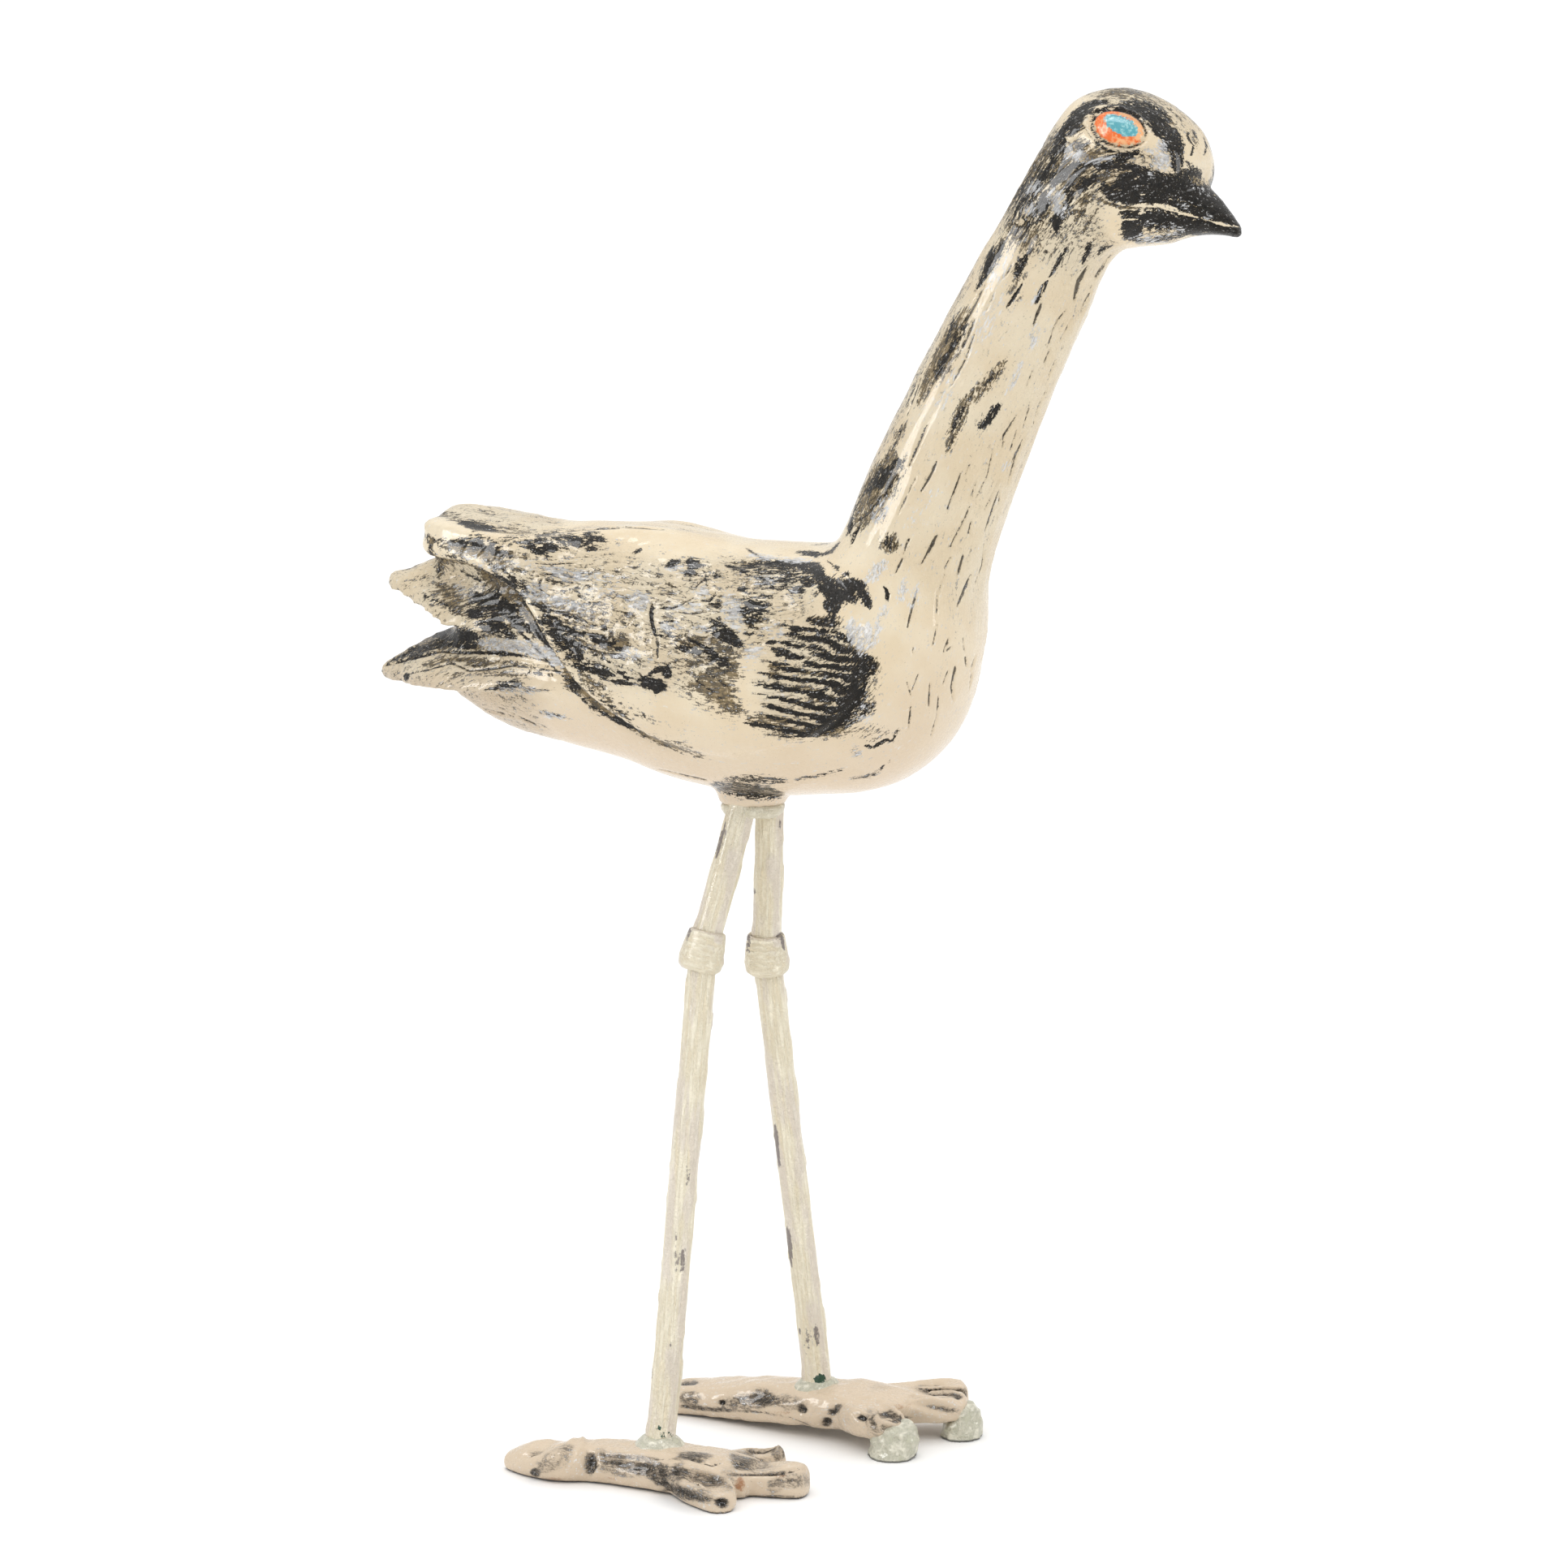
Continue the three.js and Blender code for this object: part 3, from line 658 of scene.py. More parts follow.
def eye_relief(uv):
    """A low domed eye in a groove, with a lid that is strongest below and behind."""
    reach = oval_reach(uv, *EYE)
    behind = smoothstep(*LID_FADE, (uv[:, 0] - EYE[0]) - (uv[:, 1] - EYE[1]))
    dome = EYE_DOME * np.sqrt(np.clip(1 - reach**2, 0, 1))
    groove = EYE_GROOVE * bump_at(reach, *EYE_GROOVE_RIM)
    lid = (LID_LEAST + LID_BEHIND * behind) * bump_at(reach, *LID_RIM)
    return dome - groove + lid + IRIS_RISE * bump_at(oval_reach(uv, *IRIS), *IRIS_RIM)


# Cuts and brushed dashes, read off the photograph: width and the spots that each passes
BODY_CUTS = [
    # Head and beak
    (1.5, (1372, 310), (1360, 323), (1349, 341)), (1.5, (1260, 257), (1253, 272)),
    (1.5, (1267, 277), (1255, 296)), (1, (1273, 274), (1262, 291)),
    (2, (1355, 248), (1381, 255), (1425, 257)), (1.5, (1425, 257), (1481, 272), (1531, 287)),
    (1.5, (1335, 155), (1350, 175), (1364, 186), (1386, 187)), (1, (1340, 153), (1355, 174), (1369, 181)),
    (1.5, (1281, 300), (1286, 309), (1297, 313)),
    (2, (1337, 155), (1344, 168), (1353, 177), (1362, 183), (1378, 187)),
    (1.5, (1310, 170), (1319, 178), (1322, 185)),
    # Neck and breast
    (3.5, (1213, 350), (1202, 374), (1184, 405)), (1.5, (1247, 323), (1241, 336), (1234, 343)),
    (2, (1224, 362), (1214, 384)), (3.5, (1200, 394), (1193, 412), (1186, 428)),
    (2, (1200, 412), (1189, 443), (1171, 476)), (2, (1165, 451), (1151, 471), (1138, 494)),
    (1.5, (1135, 466), (1126, 489), (1117, 512)), (2.5, (1140, 526), (1130, 550), (1120, 573)),
    (1.5, (1143, 522), (1136, 531), (1125, 558)), (3.5, (1154, 568), (1148, 583), (1134, 607)),
    (3, (1088, 610), (1074, 627), (1055, 643)), (2.5, (1061, 637), (1055, 655), (1050, 670)),
    (2, (1128, 588), (1117, 611), (1107, 634)), (2, (1122, 662), (1114, 678)),
    (3.5, (1153, 661), (1144, 680)), (2.5, (1184, 583), (1177, 604), (1167, 629)),
    (2.5, (1196, 625), (1188, 643), (1179, 660)), (2, (1199, 644), (1194, 658)),
    (1, (1224, 553), (1217, 586), (1204, 614)), (1, (1233, 588), (1224, 609), (1214, 629)),
    (1.5, (1231, 604), (1222, 629), (1213, 655)), (1.5, (1261, 539), (1251, 560), (1241, 596)),
    (1, (1253, 530), (1245, 555)), (2.5, (1253, 512), (1237, 537), (1236, 551)),
    (1, (1270, 494), (1261, 527)), (1.5, (1290, 480), (1279, 502), (1273, 522)),
    (3, (1295, 429), (1287, 448)), (1.5, (1297, 411), (1293, 422), (1290, 430)),
    (1.5, (1314, 382), (1304, 394), (1296, 410)), (1, (1324, 389), (1306, 420)),
    (3.5, (1283, 374), (1278, 387), (1273, 402)), (3, (1259, 351), (1250, 364), (1241, 377)),
    (4.5, (1341, 328), (1329, 346), (1324, 371)), (1, (1342, 361), (1332, 384)),
    (1, (1258, 545), (1251, 558), (1245, 573)), (1, (1232, 606), (1231, 621)),
    (1, (1196, 570), (1190, 586)), (1, (1204, 593), (1198, 611)), (1, (1273, 456), (1265, 476)),
    (1, (1301, 443), (1293, 463)), (1.5, (1187, 641), (1179, 658), (1171, 674)),
    (2.5, (1198, 643), (1195, 658)), (3.5, (1155, 660), (1146, 677), (1134, 696)),
    (2, (1120, 662), (1113, 684)), (3, (1112, 688), (1103, 707)), (3, (1188, 684), (1181, 709)),
    (2, (1172, 686), (1164, 701)), (1, (1197, 676), (1192, 692)),
    (1, (1213, 670), (1210, 697), (1203, 718)), (3, (1217, 702), (1210, 730)),
    (3, (1196, 708), (1189, 725), (1181, 747)), (3, (1089, 723), (1095, 732), (1094, 741)),
    (3, (1130, 725), (1125, 746), (1118, 773)), (1, (1165, 707), (1155, 734), (1154, 761)),
    (1, (1155, 769), (1149, 796)), (2, (1169, 787), (1163, 804)), (1.5, (1174, 796), (1164, 804)),
    (1, (1187, 786), (1188, 802)), (2, (1189, 809), (1190, 821)), (1, (1201, 808), (1195, 827)),
    (3, (1177, 821), (1173, 847), (1175, 863)), (1.5, (1169, 826), (1162, 844)),
    (2, (1197, 829), (1195, 856)), (2.5, (1146, 842), (1144, 870)), (1, (1131, 831), (1123, 851)),
    (1, (1117, 840), (1122, 857)), (2, (1122, 870), (1119, 897)),
    (1.5, (1156, 857), (1154, 883), (1147, 906)), (1, (1125, 798), (1124, 805)),
    # Wing and belly
    (4, (804, 740), (806, 766), (814, 791), (814, 810)), (2, (639, 661), (683, 654), (766, 654)),
    (1.5, (747, 648), (779, 653), (820, 657)), (1.5, (565, 858), (597, 874), (632, 884)),
    (1.5, (613, 871), (664, 897)), (1.5, (690, 916), (779, 941), (871, 960)),
    (2, (664, 710), (690, 705), (731, 715)), (2, (664, 750), (709, 756), (734, 769)),
    (2, (670, 766), (702, 772), (731, 788)), (2, (721, 795), (747, 804), (779, 807)),
    (2, (734, 817), (760, 823), (779, 836)), (2, (852, 715), (871, 712), (878, 728)),
    (2, (836, 753), (855, 756), (875, 753)),
    (2.5, (678, 706), (669, 716), (668, 725), (676, 731), (687, 736)),
    (2, (682, 707), (693, 711), (705, 716), (722, 719)),
    (1.5, (708, 737), (718, 744), (725, 749), (717, 751)), (2, (660, 692), (683, 694), (713, 692)),
    (2.5, (861, 723), (867, 715), (877, 714)), (2, (867, 739), (878, 739), (885, 730)),
    (2, (850, 787), (862, 790), (871, 797), (882, 798)),
    (2, (816, 747), (830, 748), (845, 743), (858, 735)),
    # Tail
    (2.5, (473, 820), (540, 804), (619, 804), (696, 820)),
    (2.5, (537, 823), (556, 817), (578, 826), (632, 820), (690, 828)),
]
FOOT_CUTS = [
    (4, (730, 1791), (734, 1807), (729, 1818)), (3, (643, 1795), (667, 1784), (695, 1781)),
    (2.5, (948, 1816), (968, 1812), (991, 1810)), (2.5, (853, 1799), (877, 1805), (893, 1799)),
]
BODY_BRUSHED = [
    (4, (1367, 304), (1356, 309), (1351, 318)), (3, (1095, 938), (1077, 955), (1049, 960)),
    (3, (1040, 949), (1019, 953), (978, 960)), (3, (1035, 670), (1025, 681), (1006, 686), (983, 680)),
    (3.5, (1061, 647), (1050, 661), (1049, 674)), (3, (1019, 691), (1035, 704), (1048, 711)),
]
# Soft dabs of glaze and paint, with painted shade and painted highlights among them: middle, half sizes, turn
# in degrees and strength
BODY_BLACK = [
    # Head and beak
    (1296, 232, 48, 50, -25, 0.4), (1345, 206, 46, 20, -10, 0.4), (1262, 262, 24, 40, 25, 0.38),
    (1338, 140, 15, 6, -25, 0.9), (1322, 161, 13, 5, -20, 0.72), (1310, 175, 4, 4, 0, 0.8),
    (1312, 183, 4, 9, 0, 0.6), (1332, 179, 9, 6, 0, 0.55), (1301, 221, 8, 8, -30, 0.82),
    (1394, 188, 11, 5, -10, 0.85), (1396, 217, 14, 17, 0, 1), (1391, 246, 13, 9, 0, 0.85),
    (1286, 253, 7, 10, 25, 0.82), (1359, 227, 5, 3, 0, 0.8), (1356, 178, 7, 6, 0, 0.35),
    (1405, 220, 29, 14, 10, 1), (1415, 233, 40, 15, 8, 1), (1462, 235, 40, 15, 25, 1),
    (1494, 251, 38, 14, 38, 1), (1519, 270, 19, 10, 40, 1), (1467, 216, 15, 8, 10, 0.85),
    (1391, 263, 14, 5, 5, 0.88), (1391, 284, 11, 13, 10, 0.98), (1424, 270, 22, 10, 10, 0.82),
    (1454, 278, 27, 8, 20, 0.62), (1498, 282, 28, 6, 18, 0.85), (1522, 284, 11, 6, 20, 0.85),
    (1451, 204, 8, 8, 0, 0.7),
    # Neck and breast
    (1182, 412, 10, 22, 25, 0.5), (1090, 596, 14, 34, 32, 0.42), (1094, 664, 5, 11, 25, 0.6),
    (1225, 506, 6, 15, 35, 0.45), (1212, 520, 11, 14, 30, 0.3), (1082, 632, 12, 16, 30, 0.45),
    (1098, 672, 9, 5, -15, 0.5), (1108, 568, 7, 4, 0, 0.8), (1089, 588, 8, 15, 30, 0.45),
    (1158, 448, 6, 18, 25, 0.5), (1224, 320, 8, 23, 25, 0.45), (1255, 328, 7, 15, 30, 0.5),
    # Shoulder patch
    (1018, 786, 40, 16, 0, 0.4), (1030, 860, 44, 40, 10, 0.4), (1012, 892, 44, 12, -8, 0.5),
    (950, 694, 5, 3, 10, 0.85), (1039, 730, 22, 13, 20, 1), (1053, 721, 16, 8, 8, 0.97),
    (1067, 738, 6, 12, -25, 0.95), (1029, 746, 12, 10, 30, 0.88), (1029, 758, 5, 5, 0, 0.75),
    (1000, 716, 9, 7, 0, 0.82), (958, 706, 43, 17, 15, 0.52), (985, 727, 12, 5, 5, 0.82),
    (1010, 765, 13, 6, 10, 0.62), (1026, 768, 12, 10, 0, 0.62), (984, 774, 9, 4, 0, 0.9),
    (968, 770, 7, 3, 0, 0.65), (954, 790, 7, 3, 0, 0.85), (971, 805, 15, 9, 5, 0.93),
    (973, 792, 7, 4, 0, 0.6), (1026, 809, 23, 10, 5, 0.92), (973, 823, 8, 7, 0, 0.92),
    (1051, 823, 27, 22, 0, 0.88), (1034, 847, 21, 12, 20, 0.93), (961, 840, 5, 5, 0, 1),
    (955, 869, 5, 5, 30, 0.9), (1028, 866, 18, 10, 10, 0.72), (1049, 861, 12, 18, 35, 0.92),
    (1000, 888, 6, 3, 0, 0.97), (1023, 884, 22, 10, -10, 0.82), (1070, 819, 10, 13, 0, 0.62),
    (1058, 854, 7, 16, 28, 0.75), (1066, 874, 15, 10, -25, 0.3), (998, 682, 17, 3, 5, 0.88),
    (1043, 708, 7, 3, 0, 0.88), (1036, 786, 20, 8, 0, 0.55), (1013, 786, 20, 7, 0, 0.55),
    (1069, 874, 11, 7, 0, 0.4), (1054, 927, 9, 9, 0, 0.35),
    # Wing and belly
    (768, 890, 14, 6, 28, 0.9), (640, 668, 20, 7, 12, 0.5), (700, 668, 52, 9, 4, 0.45),
    (598, 752, 26, 22, 40, 0.5), (614, 780, 24, 8, 20, 0.6), (700, 720, 60, 34, 14, 0.3),
    (936, 742, 24, 30, 30, 0.3), (860, 700, 34, 14, 10, 0.3), (589, 648, 25, 9, 12, 0.6),
    (594, 667, 33, 8, 8, 0.62), (620, 681, 18, 5, 18, 0.5), (667, 674, 14, 8, 5, 0.6),
    (682, 676, 9, 5, 0, 0.8), (704, 668, 17, 5, 5, 0.6), (736, 664, 15, 6, 5, 0.55),
    (731, 676, 6, 2, 0, 0.6), (787, 679, 8, 3, -30, 0.5), (650, 736, 7, 9, 30, 0.85),
    (692, 770, 32, 9, 22, 0.78), (699, 788, 29, 8, 25, 0.75), (698, 803, 18, 8, 38, 0.65),
    (733, 823, 28, 6, 14, 0.75), (718, 808, 5, 6, 0, 0.8), (770, 840, 15, 3, 8, 0.95),
    (771, 821, 10, 2, 8, 0.85), (745, 809, 13, 3, 25, 0.75), (738, 785, 9, 5, 0, 0.85),
    (736, 770, 5, 3, 0, 0.7), (773, 769, 11, 3, 0, 0.5), (767, 800, 8, 3, 10, 0.8),
    (583, 756, 11, 6, 15, 0.95), (612, 768, 11, 10, 20, 0.88), (589, 736, 11, 6, 35, 0.78),
    (611, 742, 17, 11, 35, 0.6), (611, 729, 5, 5, 0, 0.85), (633, 752, 17, 9, 40, 0.78),
    (641, 768, 17, 6, 40, 0.82), (658, 777, 14, 7, 42, 0.85), (674, 792, 14, 5, 35, 0.8),
    (626, 777, 10, 5, 30, 0.7), (571, 785, 20, 6, 5, 0.95), (569, 796, 18, 4, 5, 0.85),
    (667, 829, 23, 5, 3, 0.5), (627, 843, 19, 5, 0, 0.78), (640, 850, 41, 4, 2, 0.5),
    (707, 843, 9, 8, 30, 0.6), (680, 881, 22, 4, 12, 0.6), (832, 694, 7, 5, 0, 0.75),
    (858, 694, 11, 5, 15, 0.78), (852, 704, 5, 9, 60, 0.65), (910, 700, 15, 4, 20, 0.85),
    (917, 726, 6, 4, 20, 0.9), (826, 782, 18, 2, 3, 0.88), (829, 773, 9, 6, 0, 0.5),
    (899, 781, 28, 9, 38, 0.78), (931, 752, 15, 17, 30, 0.55), (928, 778, 9, 3, 0, 0.7),
    (858, 800, 28, 6, 12, 0.72), (890, 813, 20, 9, 35, 0.75), (766, 808, 11, 4, 10, 0.85),
    (749, 827, 13, 5, 20, 0.92), (771, 828, 9, 2, 8, 0.9), (778, 834, 7, 3, 10, 0.92),
    (807, 842, 18, 8, 15, 1), (812, 826, 10, 4, -20, 0.92), (826, 825, 7, 9, 0, 0.92),
    (813, 851, 3, 4, 0, 0.85), (748, 773, 5, 5, 0, 0.55), (751, 790, 15, 5, 0, 0.6),
    (917, 750, 5, 3, 0, 0.6), (888, 744, 11, 9, 20, 0.4), (862, 836, 4, 3, 0, 0.7),
    # Tail; its first dab is painted shade in the gap under the upper leaf
    (560, 782, 34, 9, 2, 0.7), (528, 800, 40, 7, -28, 0.6), (468, 827, 3, 3, 0, 1), (501, 834, 4, 4, 0, 1),
    (529, 737, 10, 5, 10, 0.75), (556, 750, 19, 4, 25, 0.5), (508, 798, 19, 5, 5, 0.5),
    (501, 810, 22, 4, -15, 0.5), (538, 683, 4, 13, 0, 0.45),
]
BODY_OLIVE = [
    # Head and beak
    (1300, 232, 52, 56, -25, 0.5), (1345, 205, 50, 24, -10, 0.5), (1262, 270, 26, 46, 25, 0.5),
    (1400, 112, 60, 10, 10, 0.35), (1275, 300, 34, 16, 28, 0.4), (1330, 205, 50, 30, -10, 0.4),
    (1420, 286, 46, 14, 8, 0.5), (1328, 148, 23, 8, -25, 0.6), (1324, 161, 14, 7, -20, 0.7),
    (1331, 179, 11, 9, 0, 0.6), (1310, 210, 13, 14, -30, 0.6), (1372, 201, 17, 7, -10, 0.6),
    (1290, 255, 9, 14, 0, 0.5), (1333, 243, 11, 10, 0, 0.7), (1368, 232, 15, 7, -10, 0.85),
    (1331, 260, 11, 7, 0, 0.55), (1389, 213, 14, 8, -30, 0.7), (1368, 228, 15, 5, -20, 0.6),
    (1468, 217, 15, 8, 20, 0.6), (1481, 232, 15, 3, 30, 0.4), (1420, 272, 19, 8, 10, 0.3),
    (1437, 163, 15, 29, -25, 0.4), (1470, 170, 5, 15, -20, 0.5), (1487, 170, 5, 10, -20, 0.45),
    # Neck and breast
    (1090, 596, 20, 44, 32, 0.42), (1176, 416, 15, 44, 27, 0.5), (1096, 672, 12, 10, 0, 0.8),
    (1166, 438, 13, 33, 30, 0.5), (1087, 601, 15, 38, 32, 0.45), (1098, 665, 7, 12, 30, 0.6),
    (1222, 320, 10, 31, 25, 0.5), (1102, 671, 9, 4, 20, 0.5), (1163, 453, 10, 23, 28, 0.55),
    (1253, 356, 13, 23, 30, 0.4),
    # Shoulder patch
    (1000, 895, 60, 18, 0, 0.5), (960, 710, 60, 26, 12, 0.4), (1078, 905, 22, 14, 0, 0.3),
    (962, 821, 17, 8, 0, 0.55), (1029, 764, 13, 12, 0, 0.6), (1010, 764, 13, 7, 10, 0.8),
    (1026, 836, 56, 48, 0, 0.6), (1053, 806, 19, 16, 0, 0.8), (953, 888, 30, 9, 5, 0.75),
    (1003, 898, 40, 7, 0, 0.8), (1026, 866, 20, 10, 10, 0.7), (958, 826, 10, 12, 0, 0.65),
    (1070, 819, 15, 12, 0, 0.7), (1066, 874, 18, 10, -25, 0.4), (953, 698, 40, 10, 10, 0.5),
    # Wing and belly
    (880, 858, 50, 20, 26, 0.35), (880, 815, 48, 40, 30, 0.45), (700, 760, 90, 50, 18, 0.32),
    (600, 745, 40, 34, 35, 0.5), (572, 690, 23, 8, 20, 0.6), (611, 709, 32, 8, 30, 0.55),
    (640, 682, 20, 5, 5, 0.6), (606, 676, 24, 6, 10, 0.55), (611, 746, 23, 9, 35, 0.7),
    (640, 765, 17, 11, 35, 0.6), (614, 804, 40, 5, 3, 0.5), (606, 821, 37, 4, 3, 0.45),
    (667, 829, 32, 4, 3, 0.55), (705, 844, 14, 9, 30, 0.8), (757, 790, 20, 8, 10, 0.65),
    (692, 772, 18, 17, 30, 0.4), (565, 810, 38, 6, 3, 0.4), (562, 820, 51, 6, -3, 0.3),
    (683, 654, 64, 4, -5, 0.35), (607, 680, 38, 6, 0, 0.35), (875, 788, 24, 7, 0, 0.8),
    (895, 818, 21, 13, 30, 0.8), (884, 845, 28, 14, 20, 0.78), (901, 864, 23, 9, 30, 0.6),
    (930, 753, 13, 18, 25, 0.75), (888, 744, 13, 12, 20, 0.6), (921, 801, 10, 8, 0, 0.45),
    (827, 756, 9, 5, 0, 0.5), (791, 787, 21, 5, 0, 0.5), (827, 724, 9, 9, 0, 0.5),
    (938, 761, 18, 10, 0, 0.5),
    # Tail; its first dab is painted shade in the gap between the leaves
    (560, 792, 60, 14, -6, 0.5), (549, 734, 22, 16, 10, 0.5), (549, 692, 19, 19, 0, 0.45),
    (524, 795, 38, 8, 0, 0.5),
]
# Silver-grey glaze together with painted highlights and painted reflections of the softboxes on the gloss
BODY_WASH_AND_SHEEN = [
    # Head and beak
    (1316, 186, 6, 11, 0, 0.9), (1333, 194, 13, 8, 20, 0.92), (1357, 196, 16, 5, 0, 0.85),
    (1275, 232, 14, 9, -35, 0.62), (1303, 248, 11, 18, -20, 0.82), (1269, 257, 9, 11, 20, 0.75),
    (1418, 216, 5, 4, 0, 1), (1461, 252, 8, 6, 0, 0.55), (1489, 268, 6, 4, 0, 0.9),
    (1429, 198, 14, 8, 8, 0.5), (1431, 201, 10, 8, 0, 0.8), (1479, 233, 19, 3, 28, 0.35),
    (1437, 279, 29, 4, 8, 0.55), (1414, 297, 26, 5, 5, 0.6),
    # Neck and breast
    (1238, 576, 4, 9, 40, 0.7), (1274, 415, 7, 15, 15, 0.75), (1251, 466, 4, 28, 25, 0.7),
    (1085, 629, 10, 20, 35, 0.6), (1135, 624, 10, 36, 35, 0.3), (1276, 364, 4, 15, 30, 0.5),
    (1230, 336, 9, 26, 28, 0.55), (1212, 402, 13, 46, 28, 0.45), (1166, 484, 10, 31, 28, 0.4),
    (1112, 727, 6, 18, 15, 0.8), (1126, 736, 6, 17, 20, 0.6),
    # Shoulder patch
    (1064, 879, 11, 14, 0, 0.35), (1054, 927, 11, 9, 0, 0.3), (981, 690, 23, 4, 3, 0.8),
    (1068, 786, 14, 19, 0, 0.85), (1054, 774, 8, 16, 0, 0.9), (958, 776, 12, 12, 0, 0.6),
    (981, 733, 7, 8, 0, 0.6),
    # Wing and belly
    (592, 689, 21, 6, 30, 0.5), (705, 707, 25, 9, 12, 0.85), (666, 728, 15, 13, 20, 0.8),
    (698, 742, 31, 8, 15, 0.85), (748, 710, 21, 6, 10, 0.6), (790, 739, 14, 11, 0, 0.8),
    (751, 729, 26, 9, 10, 0.5), (614, 795, 28, 8, 5, 0.95), (655, 800, 31, 10, 14, 0.95),
    (682, 812, 14, 8, 40, 0.95), (652, 697, 40, 9, 0, 0.35), (569, 725, 9, 9, 0, 0.5),
    (680, 882, 22, 5, 10, 0.6), (639, 852, 29, 6, 0, 0.4), (791, 740, 11, 13, 0, 0.85),
    (850, 748, 24, 6, 0, 0.65), (830, 771, 13, 5, -5, 0.92), (866, 774, 9, 5, 0, 0.8),
    (907, 752, 12, 24, -20, 0.85), (781, 805, 21, 6, 0, 0.85), (806, 812, 3, 5, 25, 0.8),
    (933, 802, 14, 9, 0, 0.6), (867, 729, 11, 9, 0, 0.6), (836, 701, 14, 6, 0, 0.5),
    (940, 685, 20, 4, 5, 0.7), (940, 715, 20, 8, 0, 0.4), (927, 809, 10, 18, 0, 0.4),
]
# Dark glaze on the feet, with painted shade along the near foot's side and bottom edges
FOOT_BLACK = [
    (661, 1787, 14, 6, -10, 0.6), (681, 1801, 27, 12, -30, 0.62), (659, 1815, 7, 6, 0, 1),
    (726, 1805, 8, 16, 0, 0.88), (763, 1797, 43, 8, 5, 0.55), (763, 1810, 38, 11, 10, 0.75),
    (806, 1811, 33, 11, 8, 0.82), (816, 1822, 18, 10, 10, 0.95), (833, 1822, 10, 24, 20, 0.72),
    (851, 1841, 34, 11, 12, 0.9), (890, 1852, 10, 8, 0, 1), (860, 1817, 29, 8, 8, 0.62),
    (880, 1824, 13, 7, 0, 0.5), (898, 1822, 15, 18, 0, 0.58), (857, 1795, 24, 6, 5, 0.82),
    (913, 1796, 16, 11, 0, 0.78), (931, 1804, 24, 10, 10, 0.72), (936, 1783, 18, 8, -10, 0.75),
    (959, 1788, 11, 13, 0, 0.78), (977, 1824, 29, 12, 0, 0.62), (954, 1832, 11, 11, 0, 0.62),
    (697, 1786, 13, 5, 0, 0.4), (740, 1788, 8, 5, 0, 0.5), (848, 1703, 13, 5, -5, 0.92),
    (851, 1723, 16, 9, 0, 0.78), (922, 1728, 38, 11, -3, 0.72), (940, 1722, 16, 12, 0, 0.88),
    (971, 1728, 21, 12, 10, 0.62), (889, 1728, 4, 4, 0, 1), (987, 1736, 6, 7, 0, 0.88),
    (1004, 1744, 20, 15, 0, 0.3), (1018, 1754, 7, 7, 0, 0.92), (1033, 1735, 6, 6, 0, 0.92),
    (1024, 1741, 6, 6, 0, 0.85), (1037, 1744, 16, 16, 0, 0.42), (1060, 1746, 6, 5, 0, 0.97),
    (1073, 1749, 12, 16, 0, 0.62), (1103, 1746, 23, 7, 18, 0.78), (1106, 1764, 32, 11, 10, 0.52),
    (1088, 1769, 23, 8, 5, 0.5), (1154, 1713, 29, 8, 8, 0.78), (1185, 1716, 13, 7, 0, 0.82),
    (1159, 1735, 21, 5, 8, 0.52), (1085, 1709, 16, 4, 0, 0.42), (1177, 1741, 15, 7, 0, 0.4),
]
# Olive-brown tint on the feet, partly a painted shade band along the near foot's side
FOOT_OLIVE = [
    (681, 1801, 31, 13, -20, 0.5), (778, 1806, 66, 13, 8, 0.5), (850, 1837, 36, 15, 10, 0.5),
    (934, 1796, 41, 10, 0, 0.4), (977, 1824, 31, 13, 0, 0.35), (930, 1726, 32, 12, -3, 0.75),
    (851, 1723, 16, 9, 0, 0.65), (978, 1731, 21, 11, 0, 0.55), (1039, 1744, 32, 16, 0, 0.35),
    (1078, 1754, 26, 15, 0, 0.35),
]
FOOT_RUST = [
    (912, 1828, 7, 10, 0, 0.9), (681, 1823, 15, 4, 0, 0.5), (748, 1822, 15, 3, 0, 0.45),
    (959, 1817, 10, 4, 0, 0.5), (1113, 1732, 13, 4, 0, 0.4), (963, 1741, 15, 3, 0, 0.4),
]
ROD_GREEN = [(1010, 1699, 8, 7, 0, 1), (822, 1768, 14, 5, 0, 0.5), (812, 1760, 4, 4, 0, 0.7)]
